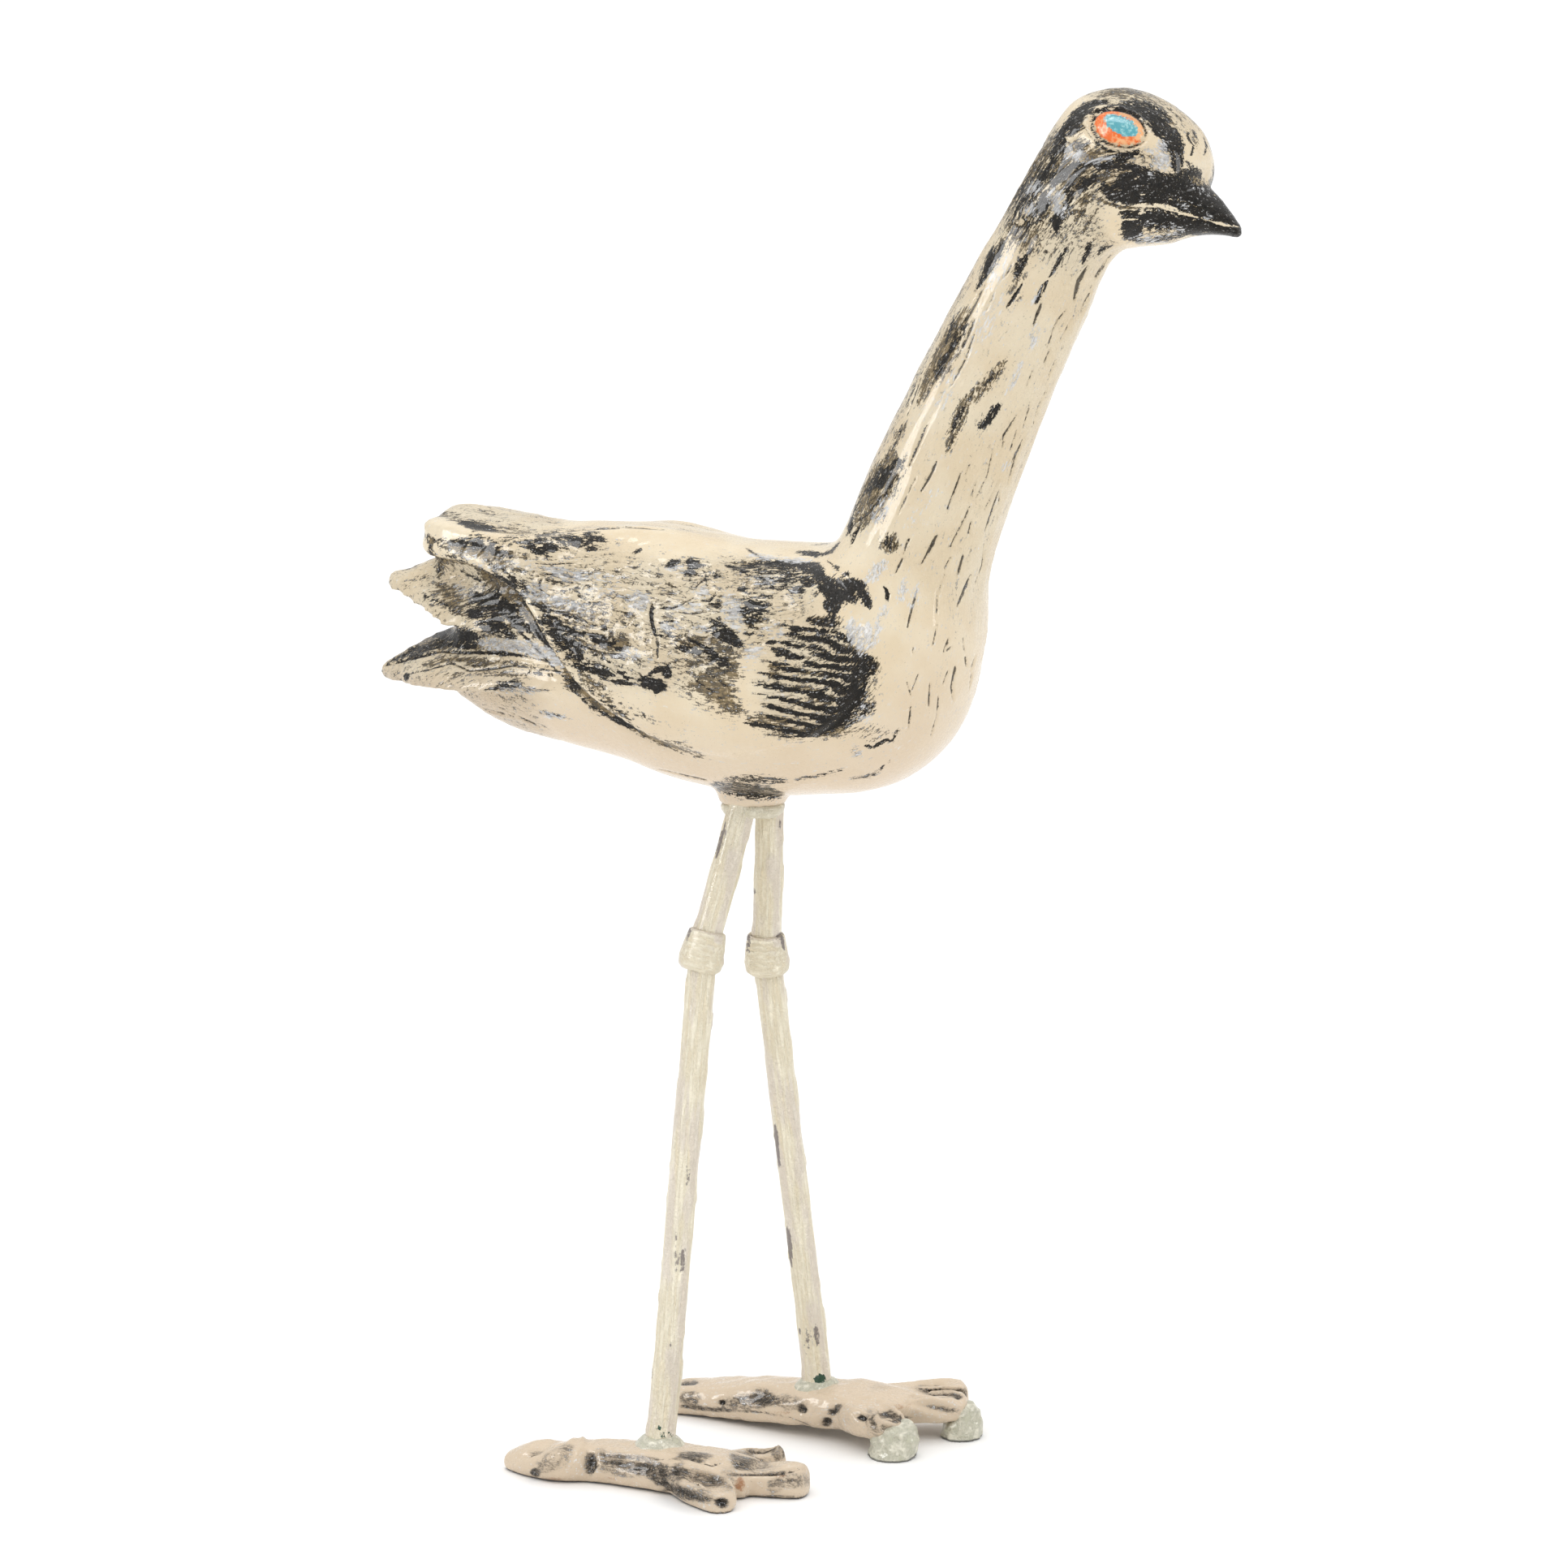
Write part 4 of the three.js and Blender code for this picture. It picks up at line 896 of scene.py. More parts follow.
# Brush strokes, some of them painted shade and painted highlights, and gaps in the black: width, strength and
# the spots that each passes
BODY_STROKES = [
    # Head and beak
    (12, 0.85, (1386, 272), (1400, 284), (1404, 297)), (10, 0.8, (1408, 268), (1440, 274), (1472, 282)),
    (1.8, 0.9, (1344, 150), (1346, 163), (1353, 175), (1366, 184), (1384, 190)),
    (2.5, 0.95, (1346, 148), (1358, 139), (1378, 133), (1398, 137), (1412, 148)),
    (7.5, 0.72, (1236, 301), (1224, 318), (1212, 341), (1202, 359)), (6, 0.75, (1270, 304), (1253, 341)),
    (5, 0.8, (1315, 304), (1304, 323), (1293, 341)), (7, 0.85, (1344, 300), (1338, 313), (1334, 324)),
    (13, 0.95, (1384, 243), (1420, 247), (1462, 256), (1500, 270), (1534, 284)),
    (13, 0.85, (1388, 262), (1420, 264), (1456, 270), (1490, 281)),
    (11, 0.72, (1388, 292), (1412, 296), (1440, 293), (1466, 287)),
    (14, 0.85, (1388, 236), (1372, 244), (1362, 236)), (16, 0.8, (1346, 128), (1330, 142), (1316, 158)),
    (12, 0.7, (1312, 162), (1302, 182), (1294, 200)), (9, 0.6, (1290, 206), (1280, 226), (1270, 250)),
    (8, 0.62, (1322, 236), (1310, 262), (1300, 286)),
    (17, 0.82, (1385, 272), (1417, 275), (1456, 276), (1487, 284), (1528, 290)),
    (8.5, 0.88, (1330, 139), (1345, 130), (1364, 125)), (10, 0.7, (1329, 146), (1313, 156), (1300, 171)),
    (3, 0.92, (1352, 138), (1368, 131), (1379, 130), (1391, 134), (1400, 138)),
    (7, 0.9, (1328, 200), (1317, 208), (1309, 218)), (6.5, 0.82, (1336, 202), (1330, 212), (1325, 219)),
    (4.5, 0.9, (1323, 219), (1318, 230), (1313, 239)), (10, 0.92, (1349, 216), (1340, 225), (1332, 235)),
    (9, 0.85, (1354, 206), (1368, 202), (1382, 199), (1391, 193)),
    (8.5, 0.88, (1355, 233), (1368, 232), (1383, 226)), (12.5, 0.85, (1305, 262), (1301, 280)),
    (2.5, 0.7, (1305, 164), (1298, 179)), (2.5, 0.6, (1287, 187), (1281, 203), (1274, 218)),
    (3.5, 0.75, (1262, 247), (1254, 258), (1247, 272)), (3, 0.7, (1278, 215), (1270, 224), (1261, 237)),
    (22, 0.75, (1386, 129), (1413, 136), (1437, 148)), (22, 0.88, (1408, 136), (1437, 163), (1451, 187)),
    (10.5, 0.85, (1449, 160), (1454, 180), (1454, 197)), (17, 0.55, (1432, 182), (1447, 192), (1451, 206)),
    (3.5, 0.8, (1462, 160), (1464, 170), (1470, 180), (1467, 192)),
    (2.5, 0.8, (1483, 170), (1486, 182), (1483, 192)), (3, 0.7, (1470, 163), (1474, 170)),
    (4, 0.6, (1490, 165), (1495, 182), (1497, 197)),
    (14.5, 0.35, (1335, 117), (1359, 109), (1386, 107), (1410, 117)),
    (7.5, 0.5, (1459, 197), (1473, 209), (1483, 211)), (6, 0.75, (1224, 303), (1217, 323), (1214, 341)),
    # Neck and breast
    (5, 0.7, (1176, 394), (1163, 429)), (6, 0.8, (1291, 346), (1281, 361), (1276, 374)),
    (6, 0.8, (1231, 499), (1222, 514), (1209, 527)), (4, 0.8, (1258, 351), (1250, 364), (1240, 379)),
    (5, 0.7, (1108, 897), (1099, 911), (1088, 911)), (6, 0.7, (1093, 911), (1077, 920), (1065, 919)),
    (5, 0.5, (1236, 448), (1224, 464), (1212, 476)), (4, 0.45, (1210, 474), (1200, 484), (1192, 494)),
    (8, 0.6, (1190, 498), (1182, 514), (1174, 532)), (5, 0.5, (1176, 538), (1170, 554)),
    (4, 0.5, (1138, 456), (1124, 484), (1114, 508)), (5, 0.5, (1112, 524), (1104, 542), (1098, 556)),
    (5, 0.55, (1094, 560), (1080, 584), (1064, 612)), (5, 0.6, (1058, 618), (1050, 640), (1044, 660)),
    (5, 0.95, (1091, 724), (1093, 731), (1092, 740)), (5.5, 0.55, (1176, 422), (1163, 451), (1153, 468)),
    (4.5, 0.65, (1105, 568), (1087, 583), (1071, 606)), (4.5, 0.8, (1051, 639), (1047, 657)),
    # Shoulder patch
    (8.5, 0.85, (953, 693), (975, 693), (995, 696)), (16, 0.97, (990, 697), (1006, 701), (1019, 710)),
    (20.5, 1, (1013, 714), (1026, 725), (1039, 732)), (5.5, 0.97, (1066, 736), (1072, 750)),
    (4.5, 0.92, (976, 774), (991, 774), (1011, 776)), (2.5, 0.8, (996, 785), (1010, 784), (1023, 785)),
    (3, 0.88, (981, 795), (998, 793), (1019, 795)), (2.5, 0.8, (1000, 798), (1013, 801), (1023, 804)),
    (3.5, 0.9, (983, 807), (995, 805), (1010, 807)),
    (6.5, 0.93, (978, 820), (995, 819), (1013, 824), (1033, 827)),
    (7, 0.97, (995, 833), (1013, 835), (1033, 841), (1046, 844)),
    (4.5, 0.9, (965, 848), (980, 850), (993, 853), (1006, 857)), (6.5, 0.9, (991, 853), (1006, 857)),
    (2.5, 0.75, (971, 838), (986, 839), (995, 842)), (3.5, 0.88, (965, 861), (976, 864), (985, 867)),
    (5, 0.9, (960, 873), (975, 876), (990, 878), (1006, 881)),
    (6.5, 0.85, (970, 901), (990, 904), (1010, 903), (1028, 895)),
    (4, 0.85, (1013, 683), (1026, 679), (1035, 668)), (2.5, 0.45, (1000, 672), (1013, 671), (1026, 669)),
    (2, 0.75, (1021, 692), (1028, 698), (1038, 701)),
    # Wing and belly; the first stroke is painted shade in the groove under the wing's rear ridge
    (5, 0.8, (606, 738), (636, 774), (664, 804), (698, 838)), (4, 0.7, (700, 846), (730, 872), (762, 892)),
    (4, 0.6, (690, 786), (712, 794), (742, 800)), (4, 0.6, (700, 772), (732, 782), (760, 786)),
    (5, 0.6, (650, 726), (668, 746), (690, 760)), (4, 0.6, (870, 772), (892, 786), (914, 796)),
    (5, 0.7, (612, 700), (634, 716), (652, 734)), (4, 0.6, (724, 838), (752, 862), (782, 882)),
    (5, 0.55, (598, 700), (640, 716), (668, 734)), (4, 0.55, (866, 822), (890, 836), (906, 852)),
    (4, 0.6, (852, 786), (878, 800), (902, 812)), (3, 0.55, (862, 838), (880, 850), (896, 862)),
    (4, 0.6, (598, 690), (626, 702), (650, 722)), (4, 0.6, (566, 700), (590, 714), (606, 730)),
    (19, 0.66, (879, 966), (919, 975), (962, 979)), (11, 0.55, (895, 957), (930, 960), (968, 962)),
    (9, 0.45, (646, 660), (690, 654), (736, 654)), (6, 0.5, (736, 651), (759, 653), (780, 652)),
    (4, 0.9, (658, 743), (676, 747), (698, 756), (727, 766)),
    (3.5, 0.9, (663, 762), (682, 768), (707, 777), (719, 783)),
    (3.5, 0.85, (676, 777), (695, 785), (719, 795)),
    (4.5, 0.97, (807, 739), (805, 752), (807, 767), (810, 781)),
    (3.5, 0.85, (815, 767), (829, 764), (841, 766)), (3.5, 0.8, (817, 747), (832, 748), (846, 743)),
    (3.5, 0.9, (850, 788), (862, 790), (872, 796), (882, 799)),
    (3, 0.85, (861, 723), (870, 715), (879, 714)), (2.5, 0.8, (867, 740), (878, 740), (885, 732)),
    (2, 0.8, (869, 703), (873, 707), (872, 714)), (2.5, 0.8, (920, 675), (932, 682), (948, 690)),
    (7.5, 0.72, (920, 889), (935, 892), (953, 894), (970, 899)),
    # Tail
    (4, 0.6, (476, 818), (512, 800), (556, 794), (610, 792)), (3, 0.6, (500, 832), (560, 818), (640, 826)),
    (4, 0.75, (538, 672), (543, 690), (541, 708)), (5, 0.62, (560, 682), (590, 694), (622, 710)),
    (4.5, 0.8, (560, 802), (598, 805), (633, 808), (658, 806)),
]
OLIVE_STROKES = [
    # Head and beak
    (14, 0.6, (1440, 205), (1470, 222), (1500, 240)),
    (7, 0.55, (1362, 120), (1373, 111), (1391, 112), (1400, 116)),
    (14, 0.65, (1300, 167), (1286, 190), (1269, 222)),
    (7, 0.8, (1352, 243), (1365, 251), (1379, 255), (1400, 258)),
    (5.5, 0.6, (1365, 120), (1383, 121), (1398, 130)), (12, 0.5, (1350, 119), (1374, 111), (1398, 117)),
    (17, 0.55, (1393, 117), (1422, 134), (1444, 153)),
    # Neck and breast
    (18, 0.72, (1238, 446), (1214, 474), (1190, 498), (1176, 530), (1168, 556)),
    (20, 0.7, (1190, 384), (1170, 420), (1150, 462), (1132, 496)), (12, 0.55, (1116, 520), (1096, 560)),
    (30, 0.72, (1100, 560), (1078, 606), (1058, 650)),
    # Shoulder patch
    (16.5, 0.6, (991, 695), (1026, 720), (1053, 730)),
    # Wing and belly
    (26, 0.66, (596, 700), (640, 748), (690, 806), (740, 860), (800, 902)),
    (12, 0.55, (800, 902), (870, 934)), (12, 0.6, (690, 780), (740, 800), (800, 812)),
    (14, 0.55, (836, 786), (876, 806), (912, 832)), (10, 0.5, (660, 740), (700, 752), (760, 768)),
    (8, 0.6, (770, 884), (812, 902), (856, 918)),
    (18.5, 0.8, (588, 702), (611, 716), (629, 732), (650, 751)),
    (10, 0.8, (652, 752), (667, 775), (687, 800), (705, 823), (727, 849)),
    (19, 0.6, (709, 842), (737, 871), (772, 890)), (14, 0.5, (772, 890), (804, 906), (843, 922)),
    # Tail
    (7, 0.7, (480, 812), (520, 800), (570, 798), (640, 800)), (6, 0.6, (540, 832), (600, 828), (660, 832)),
    (6, 0.65, (500, 824), (560, 812), (620, 816), (680, 822)), (8, 0.8, (536, 664), (545, 690), (540, 712)),
    (16, 0.6, (556, 672), (600, 684), (640, 700)), (12, 0.5, (560, 752), (600, 764), (640, 780)),
    (12, 0.6, (540, 716), (556, 740), (570, 760)),
]
# Silver-grey strokes, with painted highlights on the head, breast and shoulder
WASH_AND_SHEEN_STROKES = [
    (16, 0.9, (1430, 172), (1433, 190), (1435, 208)), (9, 0.8, (1410, 180), (1421, 187)),
    (6, 0.55, (1394, 290), (1430, 292), (1460, 285)), (16, 0.85, (1091, 692), (1079, 705), (1068, 716)),
    (10, 0.8, (1092, 745), (1088, 759), (1081, 780)),
]
BODY_GAPS = [
    # Head and beak
    (9, 0.55, (1466, 217), (1480, 228)), (4.5, 1, (1422, 252), (1437, 254), (1451, 258)),
    (3, 1, (1443, 263), (1457, 264), (1466, 266), (1475, 269)),
    (4.5, 1, (1493, 274), (1504, 276), (1516, 278)), (2, 1, (1518, 278), (1528, 280)),
    (1.5, 1, (1401, 239), (1416, 240)), (1.5, 1, (1439, 245), (1445, 246)),
    (1.5, 1, (1397, 221), (1405, 217)), (1, 1, (1408, 228), (1416, 227)),
    (3, 0.7, (1402, 293), (1420, 290), (1436, 288)), (2, 1, (1383, 271), (1402, 270)),
    (1.5, 1, (1397, 252), (1403, 254)), (4, 1, (1403, 263), (1411, 261)),
    (5, 0.9, (1488, 218), (1482, 211)), (3.5, 0.85, (1356, 222), (1373, 215), (1393, 210)),
    (1.5, 0.8, (1340, 137), (1352, 134)), (1.5, 0.85, (1324, 208), (1315, 221), (1309, 233)),
    (1.5, 0.85, (1333, 214), (1328, 222), (1321, 238)), (1.5, 0.8, (1317, 201), (1303, 213)),
    (3, 0.7, (1339, 219), (1346, 215)),
    # Shoulder patch
    (1.5, 0.9, (998, 696), (1000, 703)), (2, 0.9, (1001, 711), (1008, 715), (1007, 723)),
    (2.5, 0.8, (1013, 716), (1019, 720)), (1.5, 0.8, (1036, 723), (1046, 727)),
    (1.5, 0.85, (1061, 738), (1064, 731)), (2.5, 0.8, (1043, 739), (1054, 746)),
    (3.5, 0.92, (986, 813), (1003, 811), (1023, 815)), (3.5, 0.9, (986, 798), (1003, 799), (1019, 803)),
    (3.5, 0.92, (986, 829), (1006, 828), (1026, 831)),
    (4.5, 0.9, (970, 843), (986, 846), (996, 847), (1013, 849)),
    (4.5, 0.92, (986, 857), (1006, 861), (1013, 868)), (3.5, 0.85, (970, 867), (986, 871), (1006, 876)),
    (2.5, 0.85, (970, 882), (991, 883), (1006, 886)), (1.5, 0.9, (1033, 847), (1043, 850)),
    (1.5, 0.85, (1026, 856), (1038, 861)), (1.5, 0.8, (1036, 819), (1051, 814)),
    (1.5, 0.8, (1018, 793), (1023, 799), (1026, 804)), (2.5, 0.8, (1019, 779), (1039, 782)),
    # Wing and belly
    (2, 0.9, (658, 740), (679, 744), (698, 752), (722, 762)), (2, 0.85, (676, 760), (695, 766), (719, 772)),
    (2, 0.85, (673, 772), (695, 778), (710, 789)), (2, 0.8, (611, 716), (624, 725), (646, 734)),
    (1.5, 0.85, (591, 795), (606, 789)), (1.5, 0.85, (707, 808), (719, 817)),
    (1.5, 0.9, (666, 674), (672, 673)), (3, 0.9, (835, 758), (853, 754), (867, 756)),
    (2, 0.85, (817, 773), (820, 772)), (2.5, 0.85, (820, 790), (847, 792), (872, 799)),
    (2, 0.8, (847, 804), (872, 811)),
]
# The first three strokes are painted contact shadow together with dark glaze along the near foot's bottom
# edges
FOOT_STROKES = [
    (2.5, 0.95, (679, 1828), (748, 1830), (799, 1836), (827, 1838)),
    (2.5, 0.9, (908, 1843), (952, 1844), (987, 1843)),
    (3, 0.95, (829, 1843), (844, 1855), (870, 1865), (890, 1864)),
    (4, 0.88, (903, 1815), (939, 1816), (969, 1811)), (3, 0.8, (730, 1792), (773, 1795), (819, 1800)),
    (5, 0.7, (824, 1801), (842, 1797), (870, 1794)), (7, 0.95, (834, 1732), (866, 1735), (904, 1738)),
    (3, 0.9, (904, 1738), (942, 1741), (973, 1747)), (2.5, 0.8, (973, 1747), (1009, 1763), (1037, 1765)),
    (3, 0.8, (1070, 1749), (1096, 1735), (1126, 1749)),
    (2.5, 0.7, (1042, 1764), (1075, 1777), (1090, 1777)),
]
ROD_BARE = [
    (8, 0.9, (894, 1014), (887, 1037), (883, 1056)), (4, 0.85, (851, 1142), (846, 1158)),
    (3, 0.8, (929, 1094), (930, 1102)), (6, 0.7, (923, 1149), (921, 1175)),
    (5, 0.9, (957, 1157), (963, 1150), (966, 1170)), (3, 0.8, (961, 1010), (961, 1021)),
    (3, 0.8, (835, 1287), (834, 1337)), (3, 0.7, (831, 1340), (829, 1374)),
    (6, 0.45, (849, 1427), (846, 1468)), (7, 0.5, (842, 1535), (840, 1569)),
    (4, 0.45, (833, 1518), (834, 1569)), (5, 0.85, (955, 1386), (957, 1416), (960, 1438)),
    (6, 0.95, (970, 1514), (973, 1541), (975, 1562)), (11, 0.55, (995, 1635), (994, 1670)),
    (7, 0.85, (1005, 1633), (1007, 1660)), (3, 0.8, (985, 1637), (986, 1644)),
    (2, 0.9, (826, 1655), (826, 1658)), (3, 0.7, (803, 1681), (803, 1699)),
]
# Clay pressed up or down: middle, half sizes, turn in degrees and rise in millimetres
BODY_RELIEF = [
    (698, 731, 28, 9, 25, 1.3), (683, 709, 22, 6, 15, -0.8), (872, 727, 13, 11, 0, 0.9),
    (806, 762, 5, 26, 0, -0.9), (843, 760, 30, 14, 0, 0.6), (905, 745, 18, 24, -20, 0.6),
    (1060, 785, 18, 18, 0, 0.8), (640, 804, 50, 12, 10, -1.2), (620, 770, 40, 16, 35, -0.6),
    (1250, 285, 22, 16, -20, -1.0), (1308, 245, 13, 20, -20, -0.8), (1418, 190, 16, 22, 0, -0.8),
    (1350, 197, 26, 10, 10, -0.7), (1105, 912, 16, 12, 0, 0.5), (1040, 705, 30, 10, 20, 0.6),
]
FOOT_RELIEF = [
    (686, 1796, 18, 12, -26, 3.0), (660, 1785, 24, 5, -24, -2.6), (727, 1804, 5, 14, 8, -3.2),
    (711, 1797, 7, 15, 10, 2.0), (706, 1778, 9, 4, -30, 2.0), (718, 1777, 4, 7, 20, 2.2),
    (780, 1806, 44, 9, 8, -2.2), (772, 1790, 50, 5, 4, 1.1), (866, 1822, 26, 8, 12, -3.4),
    (847, 1843, 28, 6, 28, -2.0), (858, 1811, 30, 3, 10, 1.4), (829, 1822, 5, 20, -16, 1.6),
    (856, 1835, 28, 3, 20, 1.3), (889, 1851, 7, 6, 0, -2.4), (934, 1785, 18, 6, -12, -3.0),
    (960, 1786, 5, 10, 0, 1.2), (910, 1805, 24, 5, 8, -2.0), (939, 1815, 42, 3, -2, -1.8),
    (880, 1797, 18, 4, 10, 1.6), (958, 1806, 30, 4, 0, 1.3), (974, 1824, 20, 9, 0, -1.4),
    (848, 1703, 20, 5, 0, -1.8), (889, 1728, 4, 4, 0, -2.0), (931, 1722, 30, 9, -5, -1.8),
    (940, 1708, 34, 4, -2, 1.0), (988, 1738, 5, 5, 0, -2.4), (1018, 1754, 6, 6, 0, -2.6),
    (1027, 1738, 5, 5, 0, -2.2), (1041, 1742, 13, 14, 0, 1.6), (1060, 1746, 6, 5, 0, -2.4),
    (1104, 1744, 22, 7, 20, -3.0), (1090, 1759, 18, 5, 16, -2.0), (1080, 1748, 4, 15, -16, 1.8),
    (1108, 1731, 26, 4, 14, 1.6), (1158, 1713, 24, 6, 6, -3.2), (1182, 1717, 5, 8, 0, -1.6),
    (1140, 1723, 28, 3, 8, 1.2), (1111, 1729, 12, 3, 10, -1.2), (1154, 1735, 22, 4, 8, -1.8),
    (1150, 1744, 24, 4, 6, 0.9), (1000, 1722, 20, 5, 6, 1.0),
]
# Where the clay is worked, as soft dabs
WING_ROUGH = [(760, 760, 170, 85, 14, 1), (930, 740, 90, 60, 10, 0.9), (610, 700, 60, 40, 20, 0.5)]
HEAD_ROUGH = [(1290, 230, 62, 95, -25, 1), (1350, 218, 90, 34, -12, 1), (1400, 128, 80, 26, 22, 0.8)]
COMB_DABS = [(1012, 850, 72, 76, 0, 1)]
NECK_ROUGH = [(1180, 510, 70, 235, 27, 1)]


# The bird's triangles: their size, and what marks need finer ones, in two rounds of splitting
BODY_VOXEL = 2.8
BODY_ROUNDS = 6
LAST_ROUNDS = 2
SPLIT_REACHES = (2.5, 0.5)
SPLIT_SIGHT = 0.3
SPLIT_ROUGHNESS = 0.25
SPLIT_EYE_REACH = 1.6
THIN_STROKE = 9

# Worked clay: height in millimetres, size along the flow and seed of each kind of relief
SKIN_CLAY = {"bumps": [(0.55, 27, 1), (0.22, 11, 2)]}
REGION_CLAY = {
    "neck": {"bumps": [(0.75, (60, 8, 8), 3), (0.42, (26, 4.6, 4.6), 4), (0.16, (15, 2.8, 2.8), 28)]},
    "wrinkled": {
        "layered": [(1.3, (17, 6.5, 6.5), 7)],
        "creases": [(1.1, (12, 3.4, 3.4), 8), (0.6, (6, 1.9, 1.9), 18)],
    },
    "scratched": {"bumps": [(0.5, (26, 3.2, 3.2), 16)], "creases": [(0.5, (13, 2.4, 2.4), 17)]},
    "leaves": {"layered": [(0.7, (26, 6, 6), 9)], "creases": [(0.5, (40, 3, 3), 19)]},
    "knobs": {"bumps": [(1.2, (12, 7, 7), 27)]},
    "comb": {"bumps": [(0.3, (8, 2.2, 2.2), 20)]},
}
# Where regions start and end: millimetres, places along the sections, or shares from back to belly
WING_SIDE_Y = (8, 14)
WING_EDGE = (-1.5, 2.0)
COMB_EDGE = (1, 5)
WRINKLE_EDGE = (2, 8)
REAR_X = (-20, -60)
LEAF_X = (-100, -125)
KNOB_Z = (412, 426)
NECK_START = (9.5, 11.0)
NECK_END = (16.0, 15.0)
HEAD_START = (11.0, 13.0)
BREAST_END = (11, 8)
SPINE_EDGE = (0.22, 0.0)
BELLY_SHADE_EDGE = (0.55, 0.95)
# The ribbed shoulder patch, called the comb: its waving ribs, and where they fade towards the breast
COMB_PITCH = 4.7
COMB_SLANT = 0.16
COMB_LIFT = 0.4
COMB_DEPTH = 0.8
COMB_RIPPLE = {"bumps": [(3.0, (34, 9, 9), 5), (1.0, (12, 4, 4), 15)]}
COMB_RIM_U = (1030, 1075)
# The wing stands off the body; its rear ridge and the trough behind it have a middle and a width
WING_RELIEF = 4.5
WING_ROUNDING = 0.7
RIDGE_HEIGHT = 2.2
RIDGE = (4.0, 3.4)
TROUGH_DEPTH = 1.2
TROUGH = (-2.5, 2.2)
# Cuts: pixels inside their edge, where they sink, throw up a burr and hold ink
CUT_DEPTH = 0.75
CUT_EDGE = (-1.2, 1.4)
BURR_HEIGHT = 0.16
BURR = (-2.4, 1.2)
CUT_SPREAD = 6
# How much each region or mark gives to the glaze's masks
OLIVE_SHARES = {"wrinkled": 0.12, "leaves": 0.12, "comb": 0.1, "scratched": 0.4, "spine": 0.4}
WORN_SHARES = {"wrinkled": 1, "comb": 1, "scratched": 1, "leaves": 0.7, "neck": 0.5}
WORN_BY_BLACK = 0.5
BRUSHED_BLACK = 0.92
BRUSHED_EDGE = (-2.5, 3.0)
GROOVE_BLACK = 0.75
SPINE_BLACK = 0.25
RIB_WEAR = 0.45
GAP_WEAR = 0.85
GAP_SOFTNESS = 1.0
HOLLOW_ROUNDS = 5
HOLLOW_SPREAD = 0.8
FLOW_ROUNDS = 3


def body_sight(points, faces):
    """The photograph's sight of the bird, and the bird's points with its head turned straight."""
    straight = head_turned(points, -1)
    mirrored = head_turned(straight * (1, -1, 1))
    return Sight(points, normals_of(points, faces), (mirrored, straight[:, 1] < 0)), straight


def needs_detail(points, faces, reach, first):
    """Which points lie at eyes, cuts and thin strokes, and in the first round also in worked clay."""
    thin = [row for row in BODY_STROKES if row[0] < THIN_STROKE]
    fine = [(width, *spots) for width, _, *spots in thin + BODY_GAPS]
    sight, _ = body_sight(points, faces)
    near = sight.own_fade * sight.weight > SPLIT_SIGHT
    eyes = np.minimum(oval_reach(sight.own, *EYE), oval_reach(sight.other, *EYE)) < SPLIT_EYE_REACH
    cuts = sight.read_marks(BODY_CUTS) > -reach
    strokes = inside_marks(sight.own, fine) > -reach
    if not first:
        return eyes | near & (cuts | strokes)
    rough = WING_ROUGH + HEAD_ROUGH + COMB_DABS + NECK_ROUGH
    return eyes | cuts | near & (strokes | (in_dabs(sight.own, rough) > SPLIT_ROUGHNESS))


def dense_body():
    points, faces = fused(body_shells(), BODY_VOXEL, BODY_ROUNDS)
    for step, reach in enumerate(SPLIT_REACHES):
        points, faces = split_where(points, faces, needs_detail(points, faces, reach, step == 0))
    return relaxed(points, faces, LAST_ROUNDS), faces


def hollow_mask(relief, edges):
    """Where the relief lies lower than the clay round it, for glaze that pools there and for painted shade.
    """
    return around_half((softened(relief, edges, HOLLOW_ROUNDS) - relief) / HOLLOW_SPREAD)


